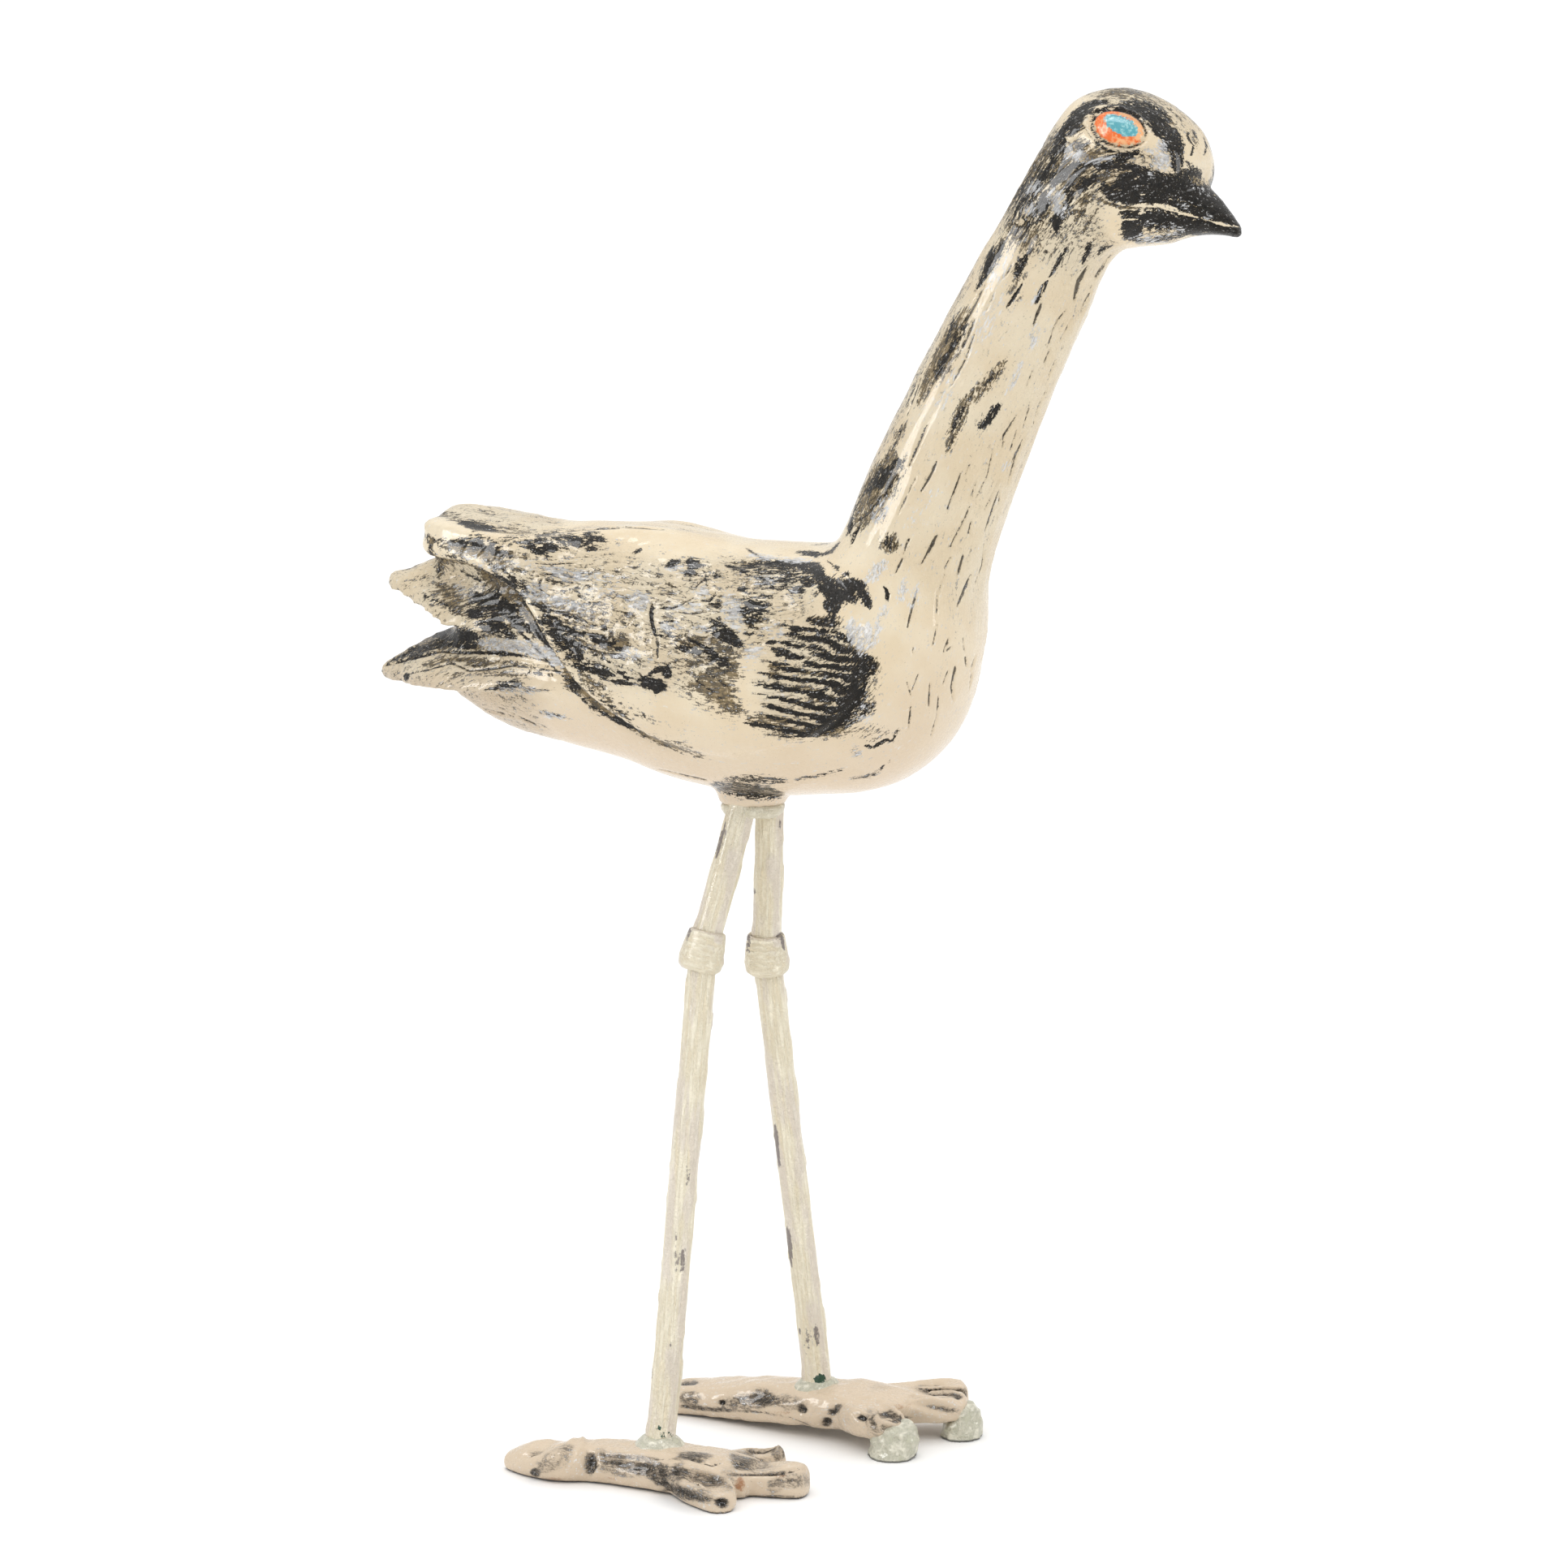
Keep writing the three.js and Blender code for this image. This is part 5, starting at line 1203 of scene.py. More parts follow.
class Bird:
    """The bird's skin with its regions, its relief and the masks that the glaze is painted by."""

    def __init__(self):
        self.points, self.faces = dense_body()
        self.edges, _ = edges_of(self.faces)
        self.sight, self.straight = body_sight(self.points, self.faces)
        self.place, self.down = body_places(self.straight)
        self.flow = softened(flow_of(self.straight, self.place, self.down), self.edges, FLOW_ROUNDS)
        self.wing_depth = depth_in_wing(self.straight)
        self.region = self.regions()
        self.groove = self.comb_groove()
        self.cuts = self.sight.read_marks(BODY_CUTS)
        self.relief = self.worked_relief()

    def regions(self):
        """How much each point belongs to each region, from 0 to 1."""
        x, y, z = self.straight.T
        outer = smoothstep(*WING_SIDE_Y, np.abs(y))
        wing = smoothstep(*WING_EDGE, self.wing_depth) * outer
        neck = smoothstep(*NECK_START, self.place) * smoothstep(*NECK_END, self.place)
        comb = self.sight.paint(COMB_DABS) * smoothstep(*COMB_EDGE, self.wing_depth) * outer
        rough = self.sight.paint(WING_ROUGH) * smoothstep(*WRINKLE_EDGE, self.wing_depth) * outer
        leaves = smoothstep(*LEAF_X, x) * (1 - wing)
        return {
            "wing": wing,
            "neck": neck,
            "comb": comb,
            "leaves": leaves,
            "rear": smoothstep(*REAR_X, x),
            "wrinkled": rough * (1 - comb),
            "scratched": self.sight.paint(HEAD_ROUGH) * smoothstep(*HEAD_START, self.place),
            "knobs": leaves * smoothstep(*KNOB_Z, z),
            "spine": smoothstep(*SPINE_EDGE, self.down) * neck,
        }

    def comb_groove(self):
        """How deep each point lies between two ribs of the comb, from 0 to 1."""
        x, _, z = self.straight.T
        waving = z + COMB_SLANT * x + clay(self.flow, **COMB_RIPPLE)
        return 0.5 - 0.5 * np.cos(waving / COMB_PITCH * FULL_TURN)

    def worked_relief(self):
        """Millimetres of clay above or below the smooth skin."""
        region = self.region
        relief = clay(self.points, **SKIN_CLAY)
        for name, kinds in REGION_CLAY.items():
            relief += region[name] * clay(self.flow, **kinds)
        relief += region["comb"] * (COMB_LIFT - COMB_DEPTH * self.groove)
        relief += region["rear"] * region["wing"] * RIDGE_HEIGHT * bump_at(self.wing_depth, *RIDGE)
        relief -= region["rear"] * TROUGH_DEPTH * bump_at(self.wing_depth, *TROUGH)
        relief += self.sight.read(eye_relief) + self.sight.read(swell, BODY_RELIEF)
        relief -= CUT_DEPTH * smoothstep(*CUT_EDGE, self.cuts)
        return relief + BURR_HEIGHT * bump_at(self.cuts, *BURR)

    def shaped(self):
        """The skin's points with their relief, and with the wings standing off sideways."""
        normals = normals_of(self.points, self.faces)
        sideways = WING_RELIEF * self.region["wing"] * np.abs(normals[:, 1]) ** WING_ROUNDING
        shaped = self.points + self.relief[:, None] * normals
        shaped[:, 1] += np.sign(self.straight[:, 1]) * sideways
        return shaped

    def shared(self, shares):
        return sum(share * self.region[name] for name, share in shares.items())

    def black_mask(self):
        sight, comb = self.sight, self.region["comb"]
        brushed = smoothstep(*BRUSHED_EDGE, sight.read_marks(BODY_BRUSHED))
        black = np.maximum(sight.paint(BODY_BLACK, BODY_STROKES), BRUSHED_BLACK * brushed)
        black = both(black, GROOVE_BLACK * comb * self.groove)
        rim = smoothstep(*COMB_RIM_U, sight.own[:, 0])
        black *= 1 - RIB_WEAR * comb * (1 - self.groove) * (1 - rim)
        black *= 1 - GAP_WEAR * sight.read(in_strokes, BODY_GAPS, GAP_SOFTNESS)
        return np.maximum(black, SPINE_BLACK * self.region["spine"])

    def masks(self):
        """What the glaze is painted by, each from 0 to 1."""
        sight, black = self.sight, self.black_mask()
        olive = sight.paint(BODY_OLIVE, OLIVE_STROKES)
        return {
            "ink": around_half(self.cuts / CUT_SPREAD),
            "black": black,
            "olive": np.maximum(olive, np.clip(self.shared(OLIVE_SHARES), 0, 1)),
            # Silver glaze with painted highlights and painted reflections
            "wash": sight.paint(BODY_WASH_AND_SHEEN, WASH_AND_SHEEN_STROKES),
            "hollow": hollow_mask(self.relief, self.edges),
            "worn": np.clip(self.shared(WORN_SHARES) + WORN_BY_BLACK * black, 0, 1),
            # Pink tone on the belly, darker towards the underside as painted shade
            "pink_tone_and_shade": smoothstep(*BELLY_SHADE_EDGE, self.down) * smoothstep(*BREAST_END, self.place),
            "orange": around_half(2 * (1 - sight.read(oval_reach, *EYE))),
            "teal": around_half(2 * (1 - sight.read(oval_reach, *IRIS))),
            "pale": sight.read(in_dabs, EYE_PALE_DABS),
        }


def piece(node, points, faces, material, masks, flow=None, name=None):
    """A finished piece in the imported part's frame, standing for one of its nodes."""
    title = f"{name or node}_finish"
    mesh = bpy.data.meshes.new(title)
    mesh.vertices.add(len(points))
    mesh.vertices.foreach_set("co", (points * MM + SHIFT).ravel())
    mesh.loops.add(faces.size)
    mesh.loops.foreach_set("vertex_index", faces.ravel().astype(np.int32))
    mesh.polygons.add(len(faces))
    mesh.polygons.foreach_set("loop_start", np.arange(0, faces.size, 3, dtype=np.int32))
    mesh.update(calc_edges=True)
    mesh.validate()
    mesh.shade_smooth()
    for key, values in masks.items():
        mask = mesh.attributes.new(key, "FLOAT", "POINT")
        mask.data.foreach_set("value", values.astype(np.float32))
    grain = points if flow is None else flow
    along = mesh.attributes.new("flow", "FLOAT_VECTOR", "POINT")
    along.data.foreach_set("vector", grain.astype(np.float32).ravel())
    mesh.materials.append(material)
    made = linked(title, mesh)
    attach(made, "root")
    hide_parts(node)


class Shades(dict):
    """A material and its named values. A name that isn't set yet is a mask painted on the mesh."""

    def __init__(self, name):
        self.material = bpy.data.materials.new(name)
        self.material.use_nodes = True
        self.tree = self.material.node_tree
        self.shader = self.tree.nodes["Principled BSDF"]

    def __missing__(self, name):
        self[name] = self.node("ShaderNodeAttribute", attribute_name=name, output=2)
        return self[name]

    def node(self, kind, inputs=(), output=0, **settings):
        made = self.tree.nodes.new(kind)
        for key, value in settings.items():
            setattr(made, key, value)
        for key, value in dict(inputs).items():
            self.feed(made.inputs[key], value)
        return made.outputs[output]

    def feed(self, socket, value):
        if isinstance(value, bpy.types.NodeSocket):
            self.tree.links.new(value, socket)
        elif socket.type == "RGBA" and len(value) == 3:
            socket.default_value = (*value, 1)
        else:
            socket.default_value = value

    def flow(self):
        return self.node("ShaderNodeAttribute", attribute_name="flow", output=1)

    def place(self):
        return self.node("ShaderNodeTexCoord", output=3)

    def noise(self, vector, scale, detail=3.0, roughness=0.55):
        """Noise at one scale, or with a scale for each axis."""
        if isinstance(scale, tuple):
            vector = self.node("ShaderNodeVectorMath", {0: vector, 1: scale}, operation="MULTIPLY")
            scale = 1.0
        values = {"Vector": vector, "Scale": scale, "Detail": detail, "Roughness": roughness}
        return self.node("ShaderNodeTexNoise", values)

    def maths(self, operation, a, b=0.0):
        return self.node("ShaderNodeMath", {0: a, 1: b}, operation=operation)

    def total(self, **shares):
        """The sum of named values, each times its share."""
        out = 0.0
        for name, share in shares.items():
            out = self.node("ShaderNodeMath", {0: self[name], 1: share, 2: out}, operation="MULTIPLY_ADD")
        return out

    def soft(self, value, low, high, start=0.0, end=1.0):
        values = {"Value": value, "From Min": low, "From Max": high, "To Min": start, "To Max": end}
        return self.node("ShaderNodeMapRange", values, interpolation_type="SMOOTHSTEP")

    def blend(self, factor, a, b):
        return self.node("ShaderNodeMix", {0: factor, 6: a, 7: b}, output=2, data_type="RGBA")

    def bump(self, height, strength, distance):
        return self.node("ShaderNodeBump", {"Height": height, "Strength": strength, "Distance": distance})

    def finish(self, **inputs):
        for key, value in inputs.items():
            self.feed(self.shader.inputs[key.replace("_", " ")], value)
        return self.material


# Colours
CREAM = (0.72, 0.60, 0.42)
CREAM_LIGHT = (0.76, 0.66, 0.49)
# Pinker, darker cream: the belly's tone with its painted shade, and the feet's tone
CREAM_PINK_AND_SHADE = (0.64, 0.522, 0.392)
OLIVE = (0.085, 0.062, 0.026)
OLIVES = [(0.20, 0.14, 0.06), (0.018, 0.012, 0.005)]
# Tints for the feet's smudges and painted shade
SMUDGE_AND_SHADE_TONES = [(0.32, 0.26, 0.20), (0.06, 0.047, 0.034)]
BLACK = (0.008, 0.0075, 0.0065)
BLACK_WARM = (0.017, 0.013, 0.008)
# Silver glaze, also used for painted highlights and painted reflections
SILVER_AND_SHEEN = (0.24, 0.245, 0.26)
SILVER_AND_SHEEN_LIGHT = (0.74, 0.74, 0.74)
RUST = (0.33, 0.14, 0.05)
EYE_ORANGE = (0.80, 0.16, 0.035)
EYE_PALE = (0.85, 0.45, 0.22)
EYE_TEAL = (0.10, 0.36, 0.42)
EYE_SKY = (0.30, 0.58, 0.60)
IVORY_DEEP = (0.83, 0.735, 0.54)
IVORY = (0.95, 0.88, 0.70)
LILAC_GREY = (0.80, 0.715, 0.64)
BARE_METAL = (0.16, 0.13, 0.13)
GREEN_FLECK = (0.03, 0.085, 0.05)
PUTTY_SHADE = (0.06, 0.065, 0.06)
CREAM_PUTTY = [(0.64, 0.58, 0.42), (0.76, 0.71, 0.56)]
GREEN_PUTTY = [(0.50, 0.49, 0.37), (0.74, 0.71, 0.58)]
FLOOR_WHITES = [(0.93, 0.925, 0.92), (0.95, 0.95, 0.95)]

# Grains of the glaze: scale by the millimetre of flow, detail, roughness and the spread to 0 and 1
FLOW_GRAINS = {
    "streak": ((0.055, 0.40, 0.40), 5.0, 0.65, (0.37, 0.63)),
    "hair": ((0.2, 0.95, 0.95), 4.0, 0.65, (0.37, 0.63)),
    "chip": ((0.22, 1.1, 1.1), 3.0, 0.6, (0.56, 0.64)),
}
# The same by the metre, for grains that run no way
EVEN_GRAINS = {
    "ragged": (430.0, 5.0, 0.75, (0.37, 0.63)),
    "fine": (1200.0, 3.0, 0.65, (0.37, 0.63)),
    "broad": (45.0, 3.0, 0.5, (0.35, 0.65)),
}
VEIN_SCALE = (0.07, 0.34, 0.34)
SPECK_SCALE = 1300.0
FLECK_SCALE = 520.0


def glaze_grains(s):
    flow, place = s.flow(), s.place()
    for vector, grains in ((flow, FLOW_GRAINS), (place, EVEN_GRAINS)):
        for name, (scale, detail, roughness, spread) in grains.items():
            s[name] = s.soft(s.noise(vector, scale, detail, roughness), *spread)
    s["speck"] = s.noise(place, SPECK_SCALE, 2.0, 0.5)
    s["wave"] = s.maths("ABSOLUTE", s.maths("SUBTRACT", s.noise(flow, VEIN_SCALE), 0.5))


def cream_glaze(s, pink_and_shade_share):
    cream = s.blend(s["broad"], CREAM, CREAM_LIGHT)
    # The belly's pink tone and painted shade
    cream = s.blend(s.maths("MULTIPLY", s["pink_tone_and_shade"], pink_and_shade_share), cream, CREAM_PINK_AND_SHADE)
    return s.blend(s.soft(s["speck"], 0.69, 0.75, 0.0, 0.4), cream, OLIVE)


def glaze_covers(s, grit, black_range, tint_range):
    """How far black, tint, ink, veins and silver glaze with painted highlights cover the cream: thicker in
    hollows, as pooled glaze and painted shade.
    """
    s["solid"] = s.soft(s["black"], 0.9, 1.0)
    s["smudge"] = s.maths("MAXIMUM", s["olive"], s["black"])
    # Hollows darken the glaze: pooled glaze and painted shade
    s["grain"] = s.total(streak=0.16, hair=0.32, ragged=0.32, fine=0.16, hollow=0.86)
    s["thin"] = s.total(hair=0.42, ragged=0.30, fine=0.18, hollow=0.86)
    black = s.total(black=0.97, solid=0.35, grain=0.92 * grit, chip=-0.5 * grit)
    tint = s.total(smudge=0.76, thin=0.95 * grit, chip=-0.12 * grit)
    inked = s.total(ink=1.0, ragged=0.16, streak=0.22)
    washed = s.total(wash=0.85, hair=0.7, ragged=0.4, fine=0.25)
    veined = s.soft(s.total(worn=1.0, ragged=0.7), 1.1, 1.3)
    s["black_cover"] = s.soft(black, *black_range)
    s["tint_cover"] = s.soft(tint, *tint_range, 0.0, 0.9)
    s["ink_cover"] = s.soft(inked, 0.68, 0.82, 0.0, 0.84)
    s["wash_cover"] = s.soft(washed, 1.02, 1.4, 0.0, 0.85)
    s["vein"] = s.maths("MULTIPLY", s.soft(s["wave"], 0.022, 0.006), veined)
    dark = s.maths("MAXIMUM", s["black_cover"], s["ink_cover"])
    s["dark_cover"] = s.maths("MAXIMUM", dark, s.maths("MULTIPLY", s["vein"], 0.8))


def with_rust(s, colour):
    return s.blend(s.soft(s.total(rust=1.0, ragged=0.5), 0.5, 1.2, 0.0, 0.85), colour, RUST)


def with_eyes(s, colour):
    """Orange eyes, paler in places, with a teal middle."""
    s["fleck"] = s.noise(s.place(), FLECK_SCALE, 3.0, 0.6)
    orange = s.blend(s.soft(s.total(fleck=1.0, pale=0.3), 0.45, 0.68), EYE_ORANGE, EYE_PALE)
    teal = s.blend(s.soft(s["fleck"], 0.48, 0.64), EYE_TEAL, EYE_SKY)
    colour = s.blend(s.soft(s.total(orange=1.0, ragged=0.3), 0.62, 0.72), colour, orange)
    return s.blend(s.soft(s.total(teal=1.0, ragged=0.55), 0.74, 0.88), colour, teal)


def glaze(name, pink_and_shade_share, grit, black_range, tint_range, tints, eyes=False):
    """Cream glaze with black wiped into its hollows and darkened there as painted shade, a tint where it
    thins, silver with painted highlights, and a glassy coat.
    """
    s = Shades(name)
    glaze_grains(s)
    glaze_covers(s, grit, black_range, tint_range)
    mottle = s.soft(s.total(hair=0.6, ragged=0.4), 0.25, 0.75)
    colour = s.blend(s["tint_cover"], cream_glaze(s, pink_and_shade_share), s.blend(mottle, *tints))
    if not eyes:
        colour = with_rust(s, colour)
    colour = s.blend(s["dark_cover"], colour, s.blend(s["ragged"], BLACK, BLACK_WARM))
    # Silver glaze and painted highlights over the rest
    colour = s.blend(s["wash_cover"], colour, s.blend(s["hair"], SILVER_AND_SHEEN, SILVER_AND_SHEEN_LIGHT))
    if eyes:
        colour = with_eyes(s, colour)
    height = s.total(hair=-0.4, ragged=-0.35, fine=-0.1, black_cover=-0.45, vein=-0.8)
    height = s.maths("MULTIPLY", height, s.soft(s["worn"], 0.0, 1.0, 0.04, 1.0))
    return s.finish(
        Base_Color=colour,
        Roughness=s.soft(s["ragged"], 0.0, 1.0, 0.2, 0.36),
        Normal=s.bump(height, 0.7, 0.0010),
        Specular_IOR_Level=0.08,
        Coat_Weight=0.34,
        Coat_Roughness=0.07,
        Coat_IOR=1.36,
    )


def paint(name):
    """Thick ivory brush paint over metal, with lilac grey where it is thin."""
    s = Shades(name)
    flow = s.flow()
    s["strokes"] = s.soft(s.noise(flow, (0.04, 0.55, 0.55), 4.0, 0.6), 0.36, 0.64)
    s["patches"] = s.noise(flow, (0.02, 0.12, 0.12), 3.0, 0.55)
    s["ragged"] = s.soft(s.noise(s.place(), 500.0, 4.0, 0.65), 0.37, 0.63)
    ivory = s.blend(s["strokes"], IVORY_DEEP, IVORY)
    ivory = s.blend(s.soft(s["patches"], 0.5, 0.62, 0.0, 0.6), ivory, LILAC_GREY)
    thin = s.total(bare=1.0, patches=0.5, strokes=0.45, ragged=0.35)
    colour = s.blend(s.soft(thin, 1.02, 1.35, 0.0, 0.85), ivory, BARE_METAL)
    colour = s.blend(s.soft(s.total(green=1.0, ragged=0.5), 0.85, 0.95), colour, GREEN_FLECK)
    return s.finish(
        Base_Color=colour,
        Roughness=s.soft(s["ragged"], 0.0, 1.0, 0.3, 0.5),
        Normal=s.bump(s.total(strokes=0.6, ragged=0.42), 0.8, 0.0014),
        Specular_IOR_Level=0.3,
        Coat_Weight=0.16,
        Coat_Roughness=0.1,
    )


def putty(name, low, high):
    """Pressed epoxy putty, slightly waxy."""
    s = Shades(name)
    s["ragged"] = s.soft(s.noise(s.place(), 260.0, 5.0, 0.65), 0.36, 0.64)
    colour = s.blend(s["ragged"], low, high)
    colour = s.blend(s.soft(s.total(green=1.0, ragged=0.5), 0.85, 1.0), colour, GREEN_FLECK)
    colour = s.blend(s.soft(s["under"], 0.3, 0.9, 0.0, 0.85), colour, PUTTY_SHADE)
    return s.finish(
        Base_Color=colour,
        Roughness=s.soft(s["ragged"], 0.0, 1.0, 0.3, 0.5),
        Normal=s.bump(s["ragged"], 0.7, 0.0013),
        Coat_Weight=0.3,
        Coat_Roughness=0.15,
    )


# Rods and knee collars
ROD_SIDES = 44
ROD_RING_STEP = 1.3
ROD_BEVEL = 0.8
ROD_CLAY = {"bumps": [(0.2, (34, 2.6, 2.6), 21), (0.22, (11, 5, 5), 22), (0.3, (26, 9, 9), 26)]}
RUN_RISE = 0.55
RUN_PATCHES = ((8, 3.2, 3.2), 23, (0.35, 0.8))
# The collar's wall, round its edge: radius, height
COLLAR_PROFILE = [
    (8.3, -9.3), (9.2, -9.5), (10.4, -8.2), (10.9, -5.5), (11.0, -3.8), (10.5, -0.5),
    (9.9, 4.0), (9.2, 8.3), (8.7, 9.4), (7.5, 9.5), (7.3, 5.0), (7.4, -1.0),
]
COLLAR_STEPS = 3
COLLAR_SIDES = 72
COLLAR_CLAY = {"bumps": [(0.3, (6, 6, 4), 24), (0.15, 2.6, 25)]}
# How far each collar turns from its upper rod to its lower rod
COLLAR_TILT = {"right": 0.25, "left": 0.5}


def axes_about(axis):
    """Two directions across an axis, and the axis."""
    up = unit(axis)
    side = unit(np.cross(up, (0, 1, 0)))
    return np.stack([side, np.cross(up, side), up])


def painted_masks(points, normals):
    sight = Sight(points, normals)
    return {"bare": sight.read(in_strokes, ROD_BARE), "green": sight.read(in_dabs, ROD_GREEN)}


def rod(name, start, end, material):
    """A round bar under thick brush paint: long ridges, lumps and small runs."""
    length = np.linalg.norm(end - start)
    heights = np.linspace(0, length, int(length / (ROD_RING_STEP * COARSE)))
    radius = np.full(len(heights), ROD_DIAMETER / 2)
    radius[[0, -1]] -= ROD_BEVEL
    angle = round_angles(ROD_SIDES)
    x, y = radius[:, None] * np.cos(angle), radius[:, None] * np.sin(angle)
    local, faces = skin(np.stack([x, y, heights[:, None] + 0 * angle], axis=2))
    axes = axes_about(end - start)
    points = start + local @ axes
    normals = normals_of(points, faces)
    flow = (points - start) @ axes[[2, 0, 1]].T
    coat = clay(flow, **ROD_CLAY) + RUN_RISE * patches(flow, *RUN_PATCHES)
    points = points + coat[:, None] * normals
    piece(name, points, faces, material, painted_masks(points, normals), flow)


def collar(name, centre, axis, material):
    """A turned sleeve over the knee, lumpy with paint."""
    profile = closed_curve([(radius, height, 0) for radius, height in COLLAR_PROFILE], COLLAR_STEPS)
    angle = round_angles(COLLAR_SIDES)
    radius, height = profile[:, :1], profile[:, 1:2]
    rings = np.stack([radius * np.cos(angle), radius * np.sin(angle), height + 0 * angle], axis=2)
    local = rings.reshape(-1, 3)
    faces = facing_out(local, band_faces(len(profile), COLLAR_SIDES, closed=True))
    axes = axes_about(axis)
    points = np.asarray(centre) + local @ axes
    normals = normals_of(points, faces)
    flow = (points - np.asarray(centre)) @ axes[[0, 2, 1]].T
    points = points + clay(points, **COLLAR_CLAY)[:, None] * normals
    piece(name, points, faces, material, painted_masks(points, normals), flow)


# Feet: heel to toes as x, y, half width, height; toes add the depth of the scoop on top
SOLES = {
    "right": [
        (-119, -60, 5, 9), (-107, -62, 12, 14.5), (-91, -63, 16, 17), (-74, -60, 14.5, 18),
        (-42, -58, 20, 19), (-16, -60, 23, 18), (4, -58, 17, 15),
    ],
    "left": [
        (-92, 68, 7, 10), (-82, 68, 13, 15), (-56, 65, 15, 17.5), (-28, 60, 18, 19.5),
        (2, 55, 21, 20.5), (28, 53, 23, 19.5), (46, 55, 17, 15),
    ],
}
TOES = {
    "right": [
        [(-22, -70, 13, 15, 0), (-11, -81, 12.5, 16, 4), (-1, -90, 10, 14, 5), (3, -94, 8, 12, 2)],
        [(-6, -58, 12, 15, 0), (10, -57, 12, 15, 3), (23, -56, 11, 16, 1), (29, -56, 9, 15, 0)],
        [(-14, -46, 11, 15, 0), (-3, -39, 10, 16, 2), (6, -34, 9, 17, 4), (9, -32, 7, 18, 1)],
    ],
    "left": [
        [(20, 45, 12, 16, 0), (34, 33, 12, 17.5, 3), (45, 25, 11, 15.5, 4), (49, 22, 9, 13, 1)],
        [(34, 56, 12, 15, 0), (50, 61, 11, 15, 3), (64, 66, 10, 15, 2), (70, 68, 8, 13, 0)],
        [(20, 64, 12, 16, 0), (40, 76, 11, 16.5, 3), (56, 84, 10, 16.5, 4), (64, 87, 8, 15, 1)],
    ],
}
FOOT_SIDES = 44
FOOT_FULLNESS = 0.8
FOOT_TOP_FULLNESS = 0.85
FOOT_TOP_SWELL = 1.25
FOOT_RISE = 0.885
SCOOP_REACH = 0.72
# Rings that round off each end of a toe or sole: distance beyond it and share of its size
ROUND_ENDS = [(1.3, 0.88), (2.4, 0.66), (3.0, 0.34)]
FOOT_VOXEL = 1.15
FOOT_ROUNDS = 3
FOOT_CLAY = {"bumps": [(0.9, 17, 31), (0.55, 7.5, 32), (0.2, 3, 33)]}
FOOT_CUT_DEPTH = 1.0
FOOT_CUT_EDGE = (-1.5, 1.5)
SOLE_EDGE_Z = (0.2, 2.5)
GROUND_SHADE_Z = (1.6, 0.4)
# Glaze on the feet: how dark its marks and painted shade are, its silver patches, and smudges where the
# photograph sees nothing
FOOT_DARKNESS = 0.9
FOOT_WASH = 0.15
WASH_PATCHES = (18, 34, (0.1, 0.6))
HIDDEN_PATCHES = ((24, 11, 8), 35, (0.0, 0.5))
HIDDEN_BLACK = 0.5
HIDDEN_OLIVE = 0.3
FOOT_WORN = 0.2
FOOT_WORN_BY_BLACK = 0.6
LEFT_PITCH = math.radians(-3.7)
LEFT_PITCH_X = -88
LEFT_SINK = 0.6


def foot_skin(rows):
    rows = refined([row if len(row) == 5 else (*row, 0) for row in rows])
    heading = np.arctan2(np.gradient(rows[:, 1]), np.gradient(rows[:, 0]))
    angle = round_angles(FOOT_SIDES)
    x, y, half_width, height, scoop = columns(rows)
    across = signed_power(np.cos(angle), FOOT_FULLNESS) * half_width
    rise = np.sin(angle)
    bowl = np.maximum(0, 1 - (across / (SCOOP_REACH * half_width)) ** 2)
    top = 1 + signed_power(rise * FOOT_TOP_SWELL, FOOT_TOP_FULLNESS)
    z = np.maximum(0, height / 2 * top) * FOOT_RISE - np.where(rise > 0, scoop * bowl, 0)
    sine, cosine = np.sin(heading)[:, None], np.cos(heading)[:, None]
    rings = np.stack([x - sine * across, y + cosine * across, z], axis=2)
    heel = rounded_end(rings[0], heading[0] + math.pi)
    toe = rounded_end(rings[-1], heading[-1])
    return skin(np.concatenate([heel[::-1], rings, toe]))


def rounded_end(ring, heading):
    forward = np.array([math.cos(heading), math.sin(heading), 0])
    centre = ring.mean(axis=0)
    ends = []
    for beyond, share in ROUND_ENDS:
        shrunk = (ring - centre) * share + centre + forward * beyond
        shrunk[:, 2] = np.where(ring[:, 2] < 0.01, 0, shrunk[:, 2])
        ends.append(shrunk)
    return np.array(ends)


def tipped(points):
    """The left foot turned up about its heel."""
    x, z = points[:, 0] - LEFT_PITCH_X, points[:, 2]
    cosine, sine = math.cos(LEFT_PITCH), math.sin(LEFT_PITCH)
    out = points.copy()
    out[:, 0] = LEFT_PITCH_X + x * cosine + z * sine
    out[:, 2] = z * cosine - x * sine - LEFT_SINK
    return out


def foot_masks(sight, points, faces, relief, cuts):
    # Painted shadow where the foot meets the ground
    under = smoothstep(*GROUND_SHADE_Z, points[:, 2])
    hidden = (1 - sight.own_fade) * patches(points, *HIDDEN_PATCHES)
    black = FOOT_DARKNESS * np.maximum(sight.paint(FOOT_BLACK, FOOT_STROKES), under)
    black = both(black, HIDDEN_BLACK * hidden)
    return {
        "ink": FOOT_DARKNESS * around_half(cuts / CUT_SPREAD),
        "black": black,
        "olive": both(sight.paint(FOOT_OLIVE), HIDDEN_OLIVE * hidden),
        "rust": sight.paint(FOOT_RUST),
        "wash": FOOT_WASH * patches(points, *WASH_PATCHES),
        "hollow": hollow_mask(relief, edges_of(faces)[0]),
        "worn": FOOT_WORN + FOOT_WORN_BY_BLACK * black,
        "pink_tone_and_shade": np.ones(len(points)),
    }


